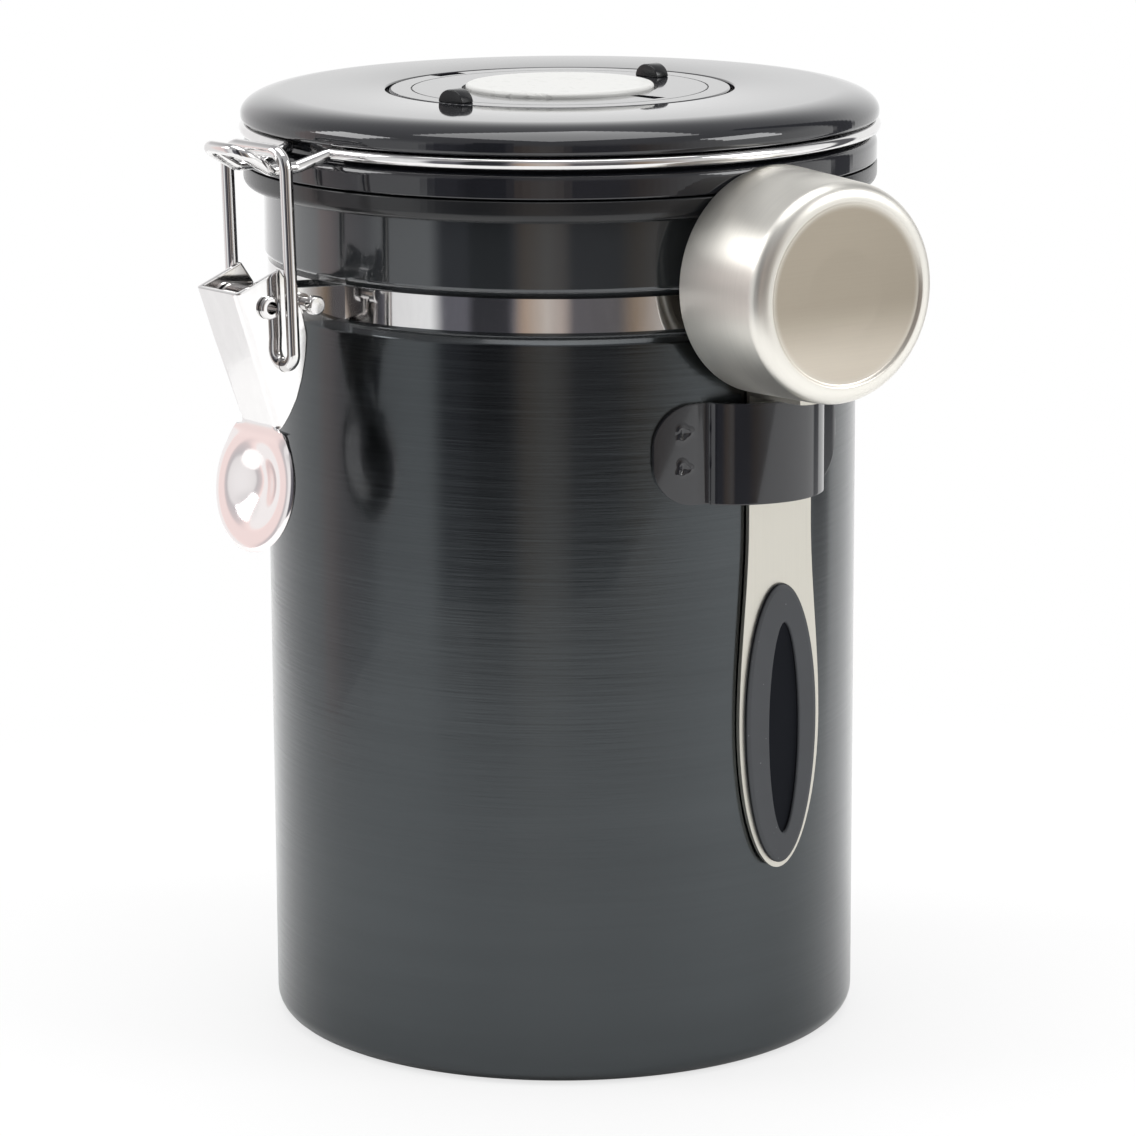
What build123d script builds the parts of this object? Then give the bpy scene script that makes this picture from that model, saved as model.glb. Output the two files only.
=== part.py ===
from build123d import *
import math
import os

# A steel coffee canister with a clamped lid, a one-way valve, two date dials and a hanging scoop.
# The origin is the middle of the base, on the surface that it stands on. +Z is up.
# The latch is at -Y, the lid hinge at +Y and the scoop clip at +X. All sizes are millimetres.

# Shared working values
overrun = 1.0
running_gap = 0.05
seam_gap = 0.3
small_gap = 0.2
same_point = 0.001

# Body shell
body_radius = 60.0
wall = 0.8
base_corner = 4.0
foot_width = 5.0
bead_width = 6.0
bead_lift = 1.2
bead_slope = 1.2
rim_height = 175.4
band_drop = 24.5
band_height = 6.6
groove_below = 2.4
groove_above = 1.6
groove_depth = 1.6
groove_lip_radius = 1.0
inner_radius = body_radius - wall
groove_radius = body_radius - groove_depth
band_seat_low = rim_height - band_drop
band_seat_high = band_seat_low + band_height

# Rim collar
collar_overhang = 4.0
collar_skirt = 3.0
collar_cover = 1.4
collar_under_round = 1.9
collar_top_round = 0.4
collar_radius = body_radius + collar_overhang
collar_low = rim_height - collar_skirt
collar_high = rim_height + collar_cover

# Lid
skirt_height = 4.9
skirt_round = 1.6
hoop_groove_height = 3.3
hoop_groove_depth = 2.6
cap_height = 5.8
cap_overhang = 0.4
cap_edge_width = 8.4
cap_edge_height = 4.3
cap_shell = 1.8
cap_lip_round = 1.0
lid_neck_wall = 2.8
lid_plate = 2.4
plug_gap = 2.7
plug_wall = 2.2
plug_depth = 8.3
gasket_rise = 2.9
gasket_height = 3.4
gasket_lip = 0.9
gasket_bead_shares = (0.12, 0.38, 0.62, 0.88)
lid_screw_count = 4
lid_screw_inset = 8.3
lid_screw_start = 45.0
lid_screw_radius = 1.3
lid_screw_head_radius = 2.7
lid_screw_head_height = 1.6
lid_screw_length = 7.5
lid_boss_radius = 3.2
skirt_low = collar_high + seam_gap
skirt_top = skirt_low + skirt_height
cap_low = skirt_top + hoop_groove_height
cap_high = cap_low + cap_height
cap_radius = collar_radius + cap_overhang
cap_flat_radius = cap_radius - cap_edge_width
lid_neck_outer = collar_radius - hoop_groove_depth
lid_plate_low = skirt_top - lid_plate
plug_outer = inner_radius - plug_gap
plug_low = collar_high - plug_depth
gasket_low = plug_low + gasket_rise
lid_screw_circle = plug_outer - plug_wall - lid_screw_inset

# Valve in the middle of the lid
valve_cap_radius = 19.0
valve_cap_lift = 0.9
valve_cap_rim = 1.8
valve_cap_round = 0.7
valve_cap_roof = 1.2
valve_hub_inset = 2.7
valve_seat_radius = 12.0
valve_port_radius = 1.3
valve_port_inset = 6.5
valve_port_count = 6
valve_stem_radius = 1.5
valve_flap_inset = 3.5
valve_flap_thickness = 0.8
valve_seat_plate = 1.6
valve_stop_gap = 1.0
valve_stop_radius = 3.6
valve_stop_height = 1.0
valve_flange_drop = 1.0
valve_flange_width = 3.4
valve_flange_height = 1.0
filter_thickness = 0.8
filter_inset = 1.0
valve_cap_high = cap_high + valve_cap_lift
valve_hub_radius = valve_cap_radius - valve_hub_inset
valve_port_circle = valve_seat_radius - valve_port_inset
valve_flap_radius = valve_seat_radius - valve_flap_inset
valve_neck_low = lid_plate_low - valve_flange_drop
valve_flange_radius = valve_seat_radius + valve_flange_width
filter_radius = valve_seat_radius - filter_inset

# Date dials in the lid
dial_width = 16.2
dial_edge_gap = 0.8
dial_depth = 2.9
dial_floor_thickness = 1.4
plate_thickness = 0.6
ring_lift = 0.2
day_ring_width = 5.3
ring_split_gap = 0.3
ring_lip_width = 1.6
ring_lip_height = 0.9
day_knob_inset = 1.9
day_knob_azimuth = 10.0
month_knob_inset = 3.6
month_knob_azimuth = 184.0
knob_radius = 3.1
knob_thickness = 3.4
knob_edge = 0.4
day_window_inset = 1.3
day_window_width = 2.8
day_window_azimuth = -85.0
day_window_half_angle = 6.5
month_window_inset = 1.9
month_window_width = 7.0
month_window_azimuth = 95.0
month_window_half_angle = 3.4
dial_radius = valve_cap_radius + dial_width
dial_floor = cap_high - dial_depth
ring_split_radius = dial_radius - day_ring_width
day_knob_radius_place = ring_split_radius + day_knob_inset
month_knob_radius_place = ring_split_radius - month_knob_inset
day_window_inner = ring_split_radius + day_window_inset
day_window_outer = day_window_inner + day_window_width
month_window_outer = ring_split_radius - month_window_inset
month_window_inner = month_window_outer - month_window_width

# Neck band and its clamp screw
band_thickness = 1.0
ear_sheet = 0.8
ear_eye_radius = 3.3
ear_reach = 18.8
ear_side_gap = 0.5
pivot_rise = 4.7
clamp_reach = 8.3
clamp_drop = 0.6
clamp_radius = 1.3
clamp_head_radius = 1.9
clamp_head_length = 1.7
clamp_nut_flats = 4.6
clamp_nut_length = 2.0

# Latch lever
lever_half_width = 6.7
lever_sheet = 1.0
pivot_radius = 1.75
pivot_bore_radius = 1.25
pivot_head_radius = 2.3
pivot_head_length = 1.0
pivot_head_round = 0.5
lever_front_reach = 7.5
lever_front_rise = 3.1
lever_length = 24.6
lever_foot_inset = 2.3
lever_rear_inset = 3.4
lever_rear_rise = 7.4
lever_bulge_inset = 10.1
lever_bulge_drop = 8.0
lever_waist_inset = 8.2
lever_waist_rise = 8.0
lever_waist_round = 10.0
lever_neck_inset = 4.4
lever_neck_drop = 0.8
lever_ridge_round = 1.2
lever_top_round = 1.5
lever_bulge_round = 6.0
hook_inset = 3.8
hook_drop = 11.6
tab_radius = 12.1
tab_sheet = 1.0
tab_offset = 1.8
tab_drop = 11.6
tab_lean = 5.0
tab_dish_radius = 9.3
tab_dish_depth = 2.2
tab_neck_half_width = 4.6
tab_neck_height = 5.0
pivot_out = body_radius + ear_reach
pivot_height = band_seat_low + pivot_rise
ear_side = lever_half_width - lever_sheet - ear_side_gap
clamp_out = body_radius + clamp_reach
clamp_height = pivot_height - clamp_drop
clamp_head_start = lever_half_width + small_gap
lever_front_top_out = pivot_out + lever_front_reach
lever_front_top = pivot_height + lever_front_rise
lever_front_foot_out = pivot_out - lever_foot_inset
lever_front_foot = pivot_height - lever_length
lever_rear_top_out = pivot_out - lever_rear_inset
lever_rear_top = pivot_height + lever_rear_rise
lever_bulge_out = pivot_out - lever_bulge_inset
lever_bulge_height = pivot_height - lever_bulge_drop
lever_waist_out = pivot_out - lever_waist_inset
lever_waist_height = lever_front_foot + lever_waist_rise
lever_neck_out = pivot_out - lever_neck_inset
lever_neck_height = lever_front_foot - lever_neck_drop
hook_out = pivot_out - hook_inset
hook_height = pivot_height - hook_drop
tab_middle_out = lever_front_foot_out + tab_offset
tab_middle_height = lever_front_foot - tab_drop

# Hoop that carries the lid, and the link that holds its nose
wire_radius = 1.2
hoop_gap = 0.9
hoop_lift = 0.7
nose_base_angle = 6.0
nose_side_gap = 1.4
nose_dip = 2.2
nose_rise = 2.2
nose_start_reach = 7.0
nose_dip_length = 5.8
nose_tip_length = 7.5
nose_corner = 3.2
hinge_reach = 6.0
hinge_rise = 1.2
hinge_arm_gap = 2.3
hinge_arm_corner = 2.4
hinge_stub_length = 2.0
link_wire_radius = 1.3
link_leg_gap = 1.5
link_bar_inset = 0.6
link_bar_gap = 1.2
link_top_corner = 4.0
link_hook_corner = 2.6
link_hook_length = 2.4
link_side = lever_half_width + link_leg_gap + link_wire_radius
link_hook_inner = lever_half_width - link_hook_length
hoop_radius = lid_neck_outer + wire_radius + hoop_gap
hoop_height = skirt_top + wire_radius + hoop_lift
nose_half_width = link_side - link_wire_radius - wire_radius - nose_side_gap
nose_dip_height = hoop_height - nose_dip
nose_tip_height = hoop_height + nose_rise
nose_dip_start = collar_radius + nose_start_reach
nose_dip_end = nose_dip_start + nose_dip_length
nose_tip_out = nose_dip_end + nose_tip_length
link_bar_out = nose_dip_end - link_bar_inset
link_bar_height = nose_dip_height + wire_radius + link_wire_radius + link_bar_gap
hinge_out = collar_radius + hinge_reach
hinge_height = collar_high + hinge_rise

# Hinge bracket on the back of the band
bracket_sheet = 1.0
bracket_half_width = 9.0
bracket_eye_radius = 3.2
bracket_foot_low = 0.6
bracket_web_out = 3.2
bracket_neck_gap = 1.2
bracket_rivet_radius = 1.5
bracket_rivet_head = 2.6
bracket_rivet_dome = 1.0
bracket_rivet_inset = 4.0
bracket_rivet_side = bracket_half_width - bracket_rivet_inset
hinge_arm_side = bracket_half_width + wire_radius + hinge_arm_gap
hinge_stub_inner = bracket_half_width - hinge_stub_length

# Scoop clip
clip_drop = 14.6
clip_height = 19.9
clip_sheet = 1.0
clip_ear_half_angle = 23.2
clip_ear_round = 8.6
clip_loop_half_width = 14.4
clip_crown_reach = 8.8
clip_shoulder_reach = 5.2
clip_shoulder_inset = 3.8
clip_side_shift = 1.2
clip_corner = 2.2
clip_corner_shares = (0.71, 0.29)
clip_high = band_seat_low - clip_drop
clip_low = clip_high - clip_height
clip_crown = body_radius + clip_crown_reach
clip_shoulder = body_radius + clip_shoulder_reach
clip_shoulder_side = clip_loop_half_width - clip_shoulder_inset

# Scoop
scoop_azimuth = 84.0
bowl_side = 5.6
scoop_side = 10.2
bowl_rim_radius = 22.2
bowl_taper = 1.0
bowl_depth = 24.0
bowl_wall = 0.8
bowl_corner = 3.4
handle_sheet = 1.0
handle_top_width = 15.0
handle_mid_width = 19.4
handle_mid_drop = 65.3
handle_neck_rise = 41.0
handle_end_length = 30.4
tab_seat_length = 13.0
grip_rise = 27.6
grip_thickness = 0.8
grip_inset = 1.1
grip_groove_depth = 0.5
grip_groove_width = 6.4
grip_groove_low_margin = 6.9
grip_groove_high_margin = 7.6
bowl_end_radius = bowl_rim_radius - bowl_taper
bowl_rim_distance = cap_radius + small_gap
bowl_height = clip_high + seam_gap + handle_sheet + bowl_rim_radius
handle_distance = body_radius + seam_gap
handle_mid_height = clip_high - handle_mid_drop
handle_neck_height = handle_mid_height + handle_neck_rise
handle_low = handle_mid_height - handle_end_length
grip_high = handle_mid_height + grip_rise
grip_groove_low = handle_low + grip_groove_low_margin
grip_groove_high = grip_high - grip_groove_high_margin


def rounded_face(plane, corners):
    """A face in the plane from (along, up, corner radius) triples."""
    points = [Vector(along, up) for along, up, _ in corners]
    count = len(points)
    starts, middles, ends = [], [], []
    for index, (point, corner) in enumerate(zip(points, corners)):
        before = (points[index - 1] - point).normalized()
        after = (points[(index + 1) % count] - point).normalized()
        radius = corner[2]
        half = math.radians(before.get_angle(after)) / 2
        trim = radius / math.tan(half)
        reach = radius / math.sin(half) - radius
        starts.append(point + before * trim)
        ends.append(point + after * trim)
        middles.append(point + (before + after).normalized() * reach)
    edges = []
    for index in range(count):
        if corners[index][2] > 0:
            arc = ThreePointArc(starts[index], middles[index], ends[index])
            edges.append(arc)
        following = (index + 1) % count
        if (starts[following] - ends[index]).length > same_point:
            edges.append(Line(ends[index], starts[following]))
    return plane * make_face(Wire(edges))


def turned(corners):
    """A ring about +Z from (radius, height, corner radius) triples."""
    return revolve(rounded_face(Plane.XZ, corners), Axis.Z)


def upright(radius, low, high, place=(0, 0)):
    """A plain upright cylinder."""
    middle = Pos(place[0], place[1], (low + high) / 2)
    return middle * Cylinder(radius, high - low)


def tube(outer, inner, low, high):
    """A plain upright tube."""
    return upright(outer, low, high) - upright(inner, low - overrun, high + overrun)


def cross_pin(radius, start, end, out, height, back=False):
    """A cylinder along X from side start to side end, in front of the body or behind it."""
    depth = out if back else -out
    middle = Pos((start + end) / 2, depth, height)
    return middle * Rot(0, 90, 0) * Cylinder(radius, abs(end - start))


def toward(azimuth, distance):
    """The plan position at an azimuth counted from the latch toward +X."""
    angle = math.radians(azimuth)
    return distance * math.sin(angle), -distance * math.cos(angle)


def at_latch(out, height, side=0):
    """A point in front of the body, where the latch is."""
    return Vector(side, -out, height)


def wire_along(path, radius):
    """A round wire along a path of straight runs and tangent arcs."""
    section = Plane(origin=path @ 0, z_dir=path % 0) * Circle(radius)
    return sweep(section, path=path)


def wedge(inner, outer, low, high, azimuth, half_angle):
    """A sector block between two radii."""
    ring = tube(outer, inner, low, high)
    reach = outer + overrun
    left = Vector(*toward(azimuth - half_angle, reach / math.cos(math.radians(half_angle))))
    right = Vector(*toward(azimuth + half_angle, reach / math.cos(math.radians(half_angle))))
    sector = make_face(Polyline(Vector(0, 0), left, right, close=True))
    cutter = extrude(Pos(0, 0, low - overrun) * sector, amount=high - low + 2 * overrun)
    return ring & cutter


latch_plane = Plane(origin=(0, 0, 0), x_dir=(0, -1, 0), z_dir=(-1, 0, 0))
hinge_plane = Plane(origin=(0, 0, 0), x_dir=(0, 1, 0), z_dir=(1, 0, 0))


def canister_body():
    """Drawn steel shell with a stamped bead in its base and a groove for the neck band."""
    low = band_seat_low - groove_below
    high = band_seat_high + groove_above
    bead_outer = body_radius - base_corner - foot_width
    bead_inner = bead_outer - bead_width
    bead_high = bead_lift + wall
    lip = groove_lip_radius
    outside = [(0, 0, 0), (bead_inner, 0, 0), (bead_inner + bead_slope, bead_lift, 0),
               (bead_outer - bead_slope, bead_lift, 0), (bead_outer, 0, 0),
               (body_radius, 0, base_corner), (body_radius, low, lip),
               (groove_radius, low + groove_depth, lip), (groove_radius, high - groove_depth, 0),
               (body_radius, high, lip), (body_radius, rim_height, 0)]
    inside = [(inner_radius, rim_height, 0), (inner_radius, high + wall, lip),
              (groove_radius - wall, high - groove_depth + wall, 0),
              (groove_radius - wall, low + groove_depth - wall, lip), (inner_radius, low - wall, lip),
              (inner_radius, wall, base_corner - wall), (bead_outer + wall / 2, wall, 0),
              (bead_outer - bead_slope + wall / 2, bead_high, 0),
              (bead_inner + bead_slope - wall / 2, bead_high, 0),
              (bead_inner - wall / 2, wall, 0), (0, wall, 0)]
    return turned(outside + inside)


def rim_collar():
    """Plastic ring that caps the cut edge of the shell."""
    return turned([(body_radius, collar_low, 0), (collar_radius, collar_low, collar_under_round),
                   (collar_radius, collar_high, collar_top_round),
                   (inner_radius, collar_high, collar_top_round), (inner_radius, rim_height, 0),
                   (body_radius, rim_height, 0)])


def neck_band():
    """Steel strap round the neck, with both ends folded forward as ears for the lever."""
    strap = tube(groove_radius + band_thickness, groove_radius, band_seat_low, band_seat_high)
    inner_side = ear_side - ear_sheet
    opening = Pos(0, -body_radius, (band_seat_low + band_seat_high) / 2) * Box(
        2 * inner_side, 2 * groove_depth + 2 * overrun, band_height + 2 * overrun)
    strap -= opening
    ear_start = math.sqrt(groove_radius ** 2 - inner_side ** 2)
    outline = Polyline(
        (ear_start, band_seat_low), (pivot_out, pivot_height - ear_eye_radius),
        (pivot_out, pivot_height + ear_eye_radius), (ear_start, band_seat_high), close=True)
    ear_face = latch_plane * make_face(outline)
    ears = []
    for side in (-1, 1):
        ear = extrude(Pos(side * ear_side, 0, 0) * ear_face, amount=ear_sheet, dir=(-side, 0, 0))
        ear += cross_pin(ear_eye_radius, side * inner_side, side * ear_side, pivot_out, pivot_height)
        ears.append(ear)
    band = strap + ears
    band -= upright(groove_radius, band_seat_low - overrun, pivot_height + groove_radius)
    band -= cross_pin(pivot_radius, -body_radius, body_radius, pivot_out, pivot_height)
    band -= cross_pin(clamp_radius, -body_radius, body_radius, clamp_out, clamp_height)
    return band


def band_screw():
    """Clamp screw that draws the two ears together."""
    head_end = clamp_head_start + clamp_head_length
    nut_end = -ear_side - clamp_nut_length
    shank = cross_pin(clamp_radius, nut_end, clamp_head_start, clamp_out, clamp_height)
    head = cross_pin(clamp_head_radius, clamp_head_start, head_end, clamp_out, clamp_height)
    screw = shank + head
    outer = screw.edges().filter_by(GeomType.CIRCLE).sort_by(Axis.X)[-1]
    return fillet(outer, clamp_head_length / 4)


def band_nut():
    """Hexagon nut on the far ear."""
    blank = extrude(RegularPolygon(clamp_nut_flats / 2, 6, major_radius=False), amount=clamp_nut_length)
    nut = Pos(-ear_side, -clamp_out, clamp_height) * Rot(0, -90, 0) * blank
    bore_end = -ear_side - clamp_nut_length - overrun
    return nut - cross_pin(clamp_radius, bore_end, overrun, clamp_out, clamp_height)


def latch_pivot_rivet():
    """Tubular rivet through the ears, which the lever turns on."""
    head_start = lever_half_width + small_gap
    head_end = head_start + pivot_head_length
    rivet = cross_pin(pivot_radius, -head_end, head_end, pivot_out, pivot_height)
    for side in (-1, 1):
        rivet += cross_pin(pivot_head_radius, side * head_start, side * head_end, pivot_out, pivot_height)
    ends = rivet.edges().filter_by(GeomType.CIRCLE).sort_by(Axis.X)
    rivet = fillet([ends[0], ends[-1]], pivot_head_round)
    bore_end = head_end + overrun
    return rivet - cross_pin(pivot_bore_radius, -bore_end, bore_end, pivot_out, pivot_height)


def hinge_bracket():
    """Folded sheet bracket on the back of the band, with two eyes for the hoop."""
    band_outer = groove_radius + band_thickness
    foot_low = band_seat_low + bracket_foot_low
    foot_high = band_seat_high
    clear = collar_radius + seam_gap
    inner_side = bracket_half_width - bracket_sheet
    eye = bracket_eye_radius
    web_out = hinge_out + eye
    start = math.sqrt(band_outer ** 2 - bracket_half_width ** 2)
    neck_start = body_radius + bracket_neck_gap
    profile = [(start, foot_low, 0), (neck_start + bracket_web_out, foot_low, bracket_web_out),
               (web_out, collar_low, bracket_web_out), (web_out, hinge_height, 0),
               (hinge_out, hinge_height + eye, 0),
               (clear, hinge_height, 0), (clear, collar_low - bracket_sheet, 0),
               (neck_start, foot_high + eye, 0), (neck_start, foot_high, 0), (start, foot_high, 0)]
    side_face = rounded_face(hinge_plane, profile)
    sides = []
    for side in (-1, 1):
        cheek = extrude(Pos(side * inner_side, 0, 0) * side_face, amount=bracket_sheet, dir=(side, 0, 0))
        outer_side = side * bracket_half_width
        cheek += cross_pin(eye, side * inner_side, outer_side, hinge_out, hinge_height, back=True)
        sides.append(cheek)
    web = Pos(0, web_out - bracket_sheet / 2, (collar_low + hinge_height) / 2) * Box(
        2 * bracket_half_width, bracket_sheet, hinge_height - collar_low - 2 * bracket_sheet)
    foot_ring = tube(band_outer + bracket_sheet, band_outer, foot_low, foot_high)
    foot = foot_ring & (Pos(0, body_radius, (foot_low + foot_high) / 2) * Box(
        2 * bracket_half_width, body_radius, band_height))
    bracket = sides[0] + sides[1] + web + foot
    bore = wire_radius + running_gap
    bracket -= cross_pin(bore, -body_radius, body_radius, hinge_out, hinge_height, back=True)
    bracket -= upright(band_outer, foot_low - overrun, foot_high + overrun)
    for side in (-1, 1):
        bracket -= bracket_rivet_bore(side)
    return bracket


def bracket_rivet_bore(side):
    """The straight part of a rivet through the band and the bracket foot."""
    middle = (band_seat_low + band_seat_high) / 2
    start = groove_radius
    length = body_radius + bracket_sheet + band_thickness - start
    pin = Pos(side * bracket_rivet_side, start + length / 2, middle) * Rot(90, 0, 0)
    return pin * Cylinder(bracket_rivet_radius, length)


def hinge_rivets():
    """Two rivets that hold the hinge bracket to the band."""
    band_outer = groove_radius + band_thickness
    middle = (band_seat_low + band_seat_high) / 2
    rivets = []
    for side in (-1, 1):
        place = side * bracket_rivet_side
        seat = math.sqrt((band_outer + bracket_sheet) ** 2 - (bracket_rivet_side - bracket_rivet_head) ** 2)
        head = Pos(place, seat + bracket_rivet_dome / 2, middle) * Rot(90, 0, 0) * Cylinder(
            bracket_rivet_head, bracket_rivet_dome)
        shank = bracket_rivet_bore(side)
        shank -= upright(band_outer, band_seat_low - overrun, band_seat_high + overrun)
        rivets.append(head + (shank & upright(seat + bracket_rivet_dome, band_seat_low, band_seat_high)))
    return rivets


def scoop_clip():
    """Bent strip with a bulged loop and two round ears, welded to the side of the body."""
    plan_inner, plan_outer = [], []
    shift = clip_side_shift
    for reach, points in ((clip_sheet, plan_inner), (0, plan_outer)):
        side = clip_loop_half_width - reach
        foot = body_radius - base_corner
        points.extend([
            Vector(foot, shift - side), Vector(clip_shoulder - reach - clip_corner, shift - side),
            Vector(clip_shoulder - reach, shift - clip_shoulder_side), Vector(clip_crown - reach, shift),
            Vector(clip_shoulder - reach, shift + clip_shoulder_side),
            Vector(clip_shoulder - reach - clip_corner, shift + side), Vector(foot, shift + side)])
    solids = []
    for points in (plan_outer, plan_inner):
        outline = Wire([
            Line(points[0], points[1]),
            ThreePointArc(points[1], corner_point(points[1], points[2]), points[2]),
            ThreePointArc(points[2], points[3], points[4]),
            ThreePointArc(points[4], corner_point(points[5], points[4]), points[5]),
            Line(points[5], points[6]), Line(points[6], points[0])])
        solids.append(make_face(outline))
    height = clip_high - clip_low
    outer = extrude(Pos(0, 0, clip_low) * solids[0], amount=height)
    inner = extrude(Pos(0, 0, clip_low - overrun) * solids[1], amount=height + 2 * overrun)
    loop = outer - inner - upright(body_radius, clip_low - overrun, clip_high + overrun)
    ears = wedge(body_radius, body_radius + clip_sheet, clip_low, clip_high, 90, clip_ear_half_angle)
    ears -= inner
    reach = 2 * body_radius * math.sin(math.radians(clip_ear_half_angle))
    mask = Pos(body_radius, 0, (clip_low + clip_high) / 2) * Box(body_radius, reach, height)
    mask = fillet(mask.edges().filter_by(Axis.X), clip_ear_round)
    return loop + (ears & mask)


def corner_point(low, high):
    """A point that rounds the corner between a side wall and the crown."""
    across = high - low
    outward_share, inward_share = clip_corner_shares
    return low + Vector(across.X * outward_share, across.Y * inward_share)


def lid_screw_places():
    """Plan positions of the screws that hold the lid together."""
    step = 360 / lid_screw_count
    return [toward(lid_screw_start + index * step, lid_screw_circle) for index in range(lid_screw_count)]


def lid_cap():
    """Glossy top shell of the lid, with the dial recess and the screw bosses."""
    under = cap_high - cap_shell
    wall_inner = lid_neck_outer + small_gap
    recess_wall = dial_radius + cap_shell
    floor_low = dial_floor - dial_floor_thickness
    hub = valve_hub_radius + small_gap
    profile = [(dial_radius, cap_high, 0), (cap_flat_radius, cap_high, 0), (cap_radius, cap_high, 0),
               (cap_radius, cap_low, cap_lip_round), (wall_inner, cap_low, 0),
               (wall_inner, under - cap_shell, 0), (cap_flat_radius, under, 0), (recess_wall, under, 0),
               (recess_wall, floor_low, 0),
               (hub, floor_low, 0), (hub, dial_floor, 0), (dial_radius, dial_floor, 0)]
    edge_low = cap_high - cap_edge_height
    lip_high, lip_out = cap_low + cap_lip_round, cap_radius - cap_lip_round
    lines = []
    for index, (start, end) in enumerate(zip(profile, profile[1:] + profile[:1])):
        if index == 1:
            lines.append(EllipticalCenterArc(
                (cap_flat_radius, edge_low), cap_radius - cap_flat_radius, cap_edge_height,
                start_angle=0, arc_size=90))
        elif index == 2:
            lines.append(Line((cap_radius, edge_low), (cap_radius, lip_high)))
            lines.append(RadiusArc((cap_radius, lip_high), (lip_out, cap_low), cap_lip_round))
        elif index == 3:
            lines.append(Line((lip_out, cap_low), end[:2]))
        else:
            lines.append(Line(start[:2], end[:2]))
    cap = revolve(Plane.XZ * make_face(Wire(lines)), Axis.Z)
    for place in lid_screw_places():
        boss = upright(lid_boss_radius, skirt_top, under + cap_shell / 2, place)
        pilot = upright(lid_screw_radius, skirt_top - overrun, lid_plate_low + lid_screw_length, place)
        cap = cap + boss - pilot
    return cap


def lid_base():
    """Inner half of the lid: skirt, neck for the hoop groove and plug."""
    neck_inner = lid_neck_outer - lid_neck_wall
    gasket_groove = plug_outer - gasket_lip
    base = turned([
        (valve_seat_radius, skirt_top, 0), (neck_inner, skirt_top, 0), (neck_inner, cap_low + cap_shell, 0),
        (lid_neck_outer, cap_low + cap_shell, 0), (lid_neck_outer, skirt_top, 0),
        (collar_radius, skirt_top, skirt_round), (collar_radius, skirt_low, 0), (plug_outer, skirt_low, 0),
        (plug_outer, gasket_low + gasket_height, 0), (gasket_groove, gasket_low + gasket_height, 0),
        (gasket_groove, gasket_low, 0), (plug_outer, gasket_low, 0), (plug_outer, plug_low, 0),
        (plug_outer - plug_wall, plug_low, 0), (plug_outer - plug_wall, lid_plate_low, 0),
        (valve_seat_radius, lid_plate_low, 0)])
    for place in lid_screw_places():
        base -= upright(lid_screw_radius, plug_low, cap_high, place)
    return base


def lid_gasket():
    """Silicone ring on the plug, with two wiping beads."""
    inner = plug_outer - gasket_lip
    outer = inner_radius - seam_gap
    valley = outer - gasket_lip
    levels = [gasket_low + gasket_height * share for share in gasket_bead_shares]
    return turned([
        (inner, gasket_low, 0), (valley, gasket_low, 0), (outer, levels[0], 0), (valley, levels[1], 0),
        (valley, levels[2], 0), (outer, levels[3], 0), (valley, gasket_low + gasket_height, 0),
        (inner, gasket_low + gasket_height, 0)])


def lid_screws():
    """Screws that hold the two halves of the lid together."""
    screws = []
    for place in lid_screw_places():
        shank = upright(lid_screw_radius, lid_plate_low, lid_plate_low + lid_screw_length, place)
        head = upright(lid_screw_head_radius, lid_plate_low - lid_screw_head_height, lid_plate_low, place)
        screws.append(shank + head)
    return screws


def bail_hoop():
    """One wire: hinge stubs, arms, ring round the lid and the nose that the link holds."""
    pieces = []
    for side in (-1, 1):
        rear_reach = math.sqrt(hoop_radius ** 2 - hinge_arm_side ** 2)
        rear_start = Vector(side * hinge_arm_side, rear_reach, hoop_height)
        arm = FilletPolyline(
            rear_start, Vector(side * hinge_arm_side, hinge_out, hoop_height),
            Vector(side * hinge_arm_side, hinge_out, hinge_height),
            Vector(side * hinge_stub_inner, hinge_out, hinge_height), radius=hinge_arm_corner)
        pieces.append(wire_along(arm, wire_radius))
        x, y = toward(side * nose_base_angle, hoop_radius)
        front = Vector(x, y, hoop_height)
        middle = Vector(side * hoop_radius, 0, hoop_height)
        ring = ThreePointArc(front, middle, rear_start)
        pieces.append(wire_along(ring, wire_radius))
        pieces.append(Pos(front) * Sphere(wire_radius))
        pieces.append(Pos(rear_start) * Sphere(wire_radius))
    left = Vector(*toward(-nose_base_angle, hoop_radius), hoop_height)
    right = Vector(*toward(nose_base_angle, hoop_radius), hoop_height)
    nose = FilletPolyline(
        left, at_latch(nose_dip_start, nose_dip_height, -nose_half_width),
        at_latch(nose_dip_end, nose_dip_height, -nose_half_width),
        at_latch(nose_tip_out, nose_tip_height, -nose_half_width),
        at_latch(nose_tip_out, nose_tip_height, nose_half_width),
        at_latch(nose_dip_end, nose_dip_height, nose_half_width),
        at_latch(nose_dip_start, nose_dip_height, nose_half_width), right, radius=nose_corner)
    return wire_along(nose, wire_radius).fuse(*pieces)


def number_plate():
    """Flat plate under the dials, for the printed day and month numbers."""
    high = dial_floor + plate_thickness
    return tube(dial_radius - dial_edge_gap, valve_hub_radius + small_gap, dial_floor, high)


def ring_low():
    """Height of the underside of both dial rings."""
    return dial_floor + plate_thickness + ring_lift


def day_ring():
    """Outer dial ring, with a window over the day numbers."""
    low = ring_low()
    inner = ring_split_radius + ring_split_gap / 2
    lip_inner = inner - ring_lip_width
    outer = dial_radius - dial_edge_gap
    ring = turned([(lip_inner, low, 0), (outer, low, 0), (outer, cap_high, knob_edge), (inner, cap_high, 0),
                   (inner, low + ring_lip_height, 0), (lip_inner, low + ring_lip_height, 0)])
    return ring - wedge(day_window_inner, day_window_outer, low - overrun, cap_high + overrun,
                        day_window_azimuth, day_window_half_angle)


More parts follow.
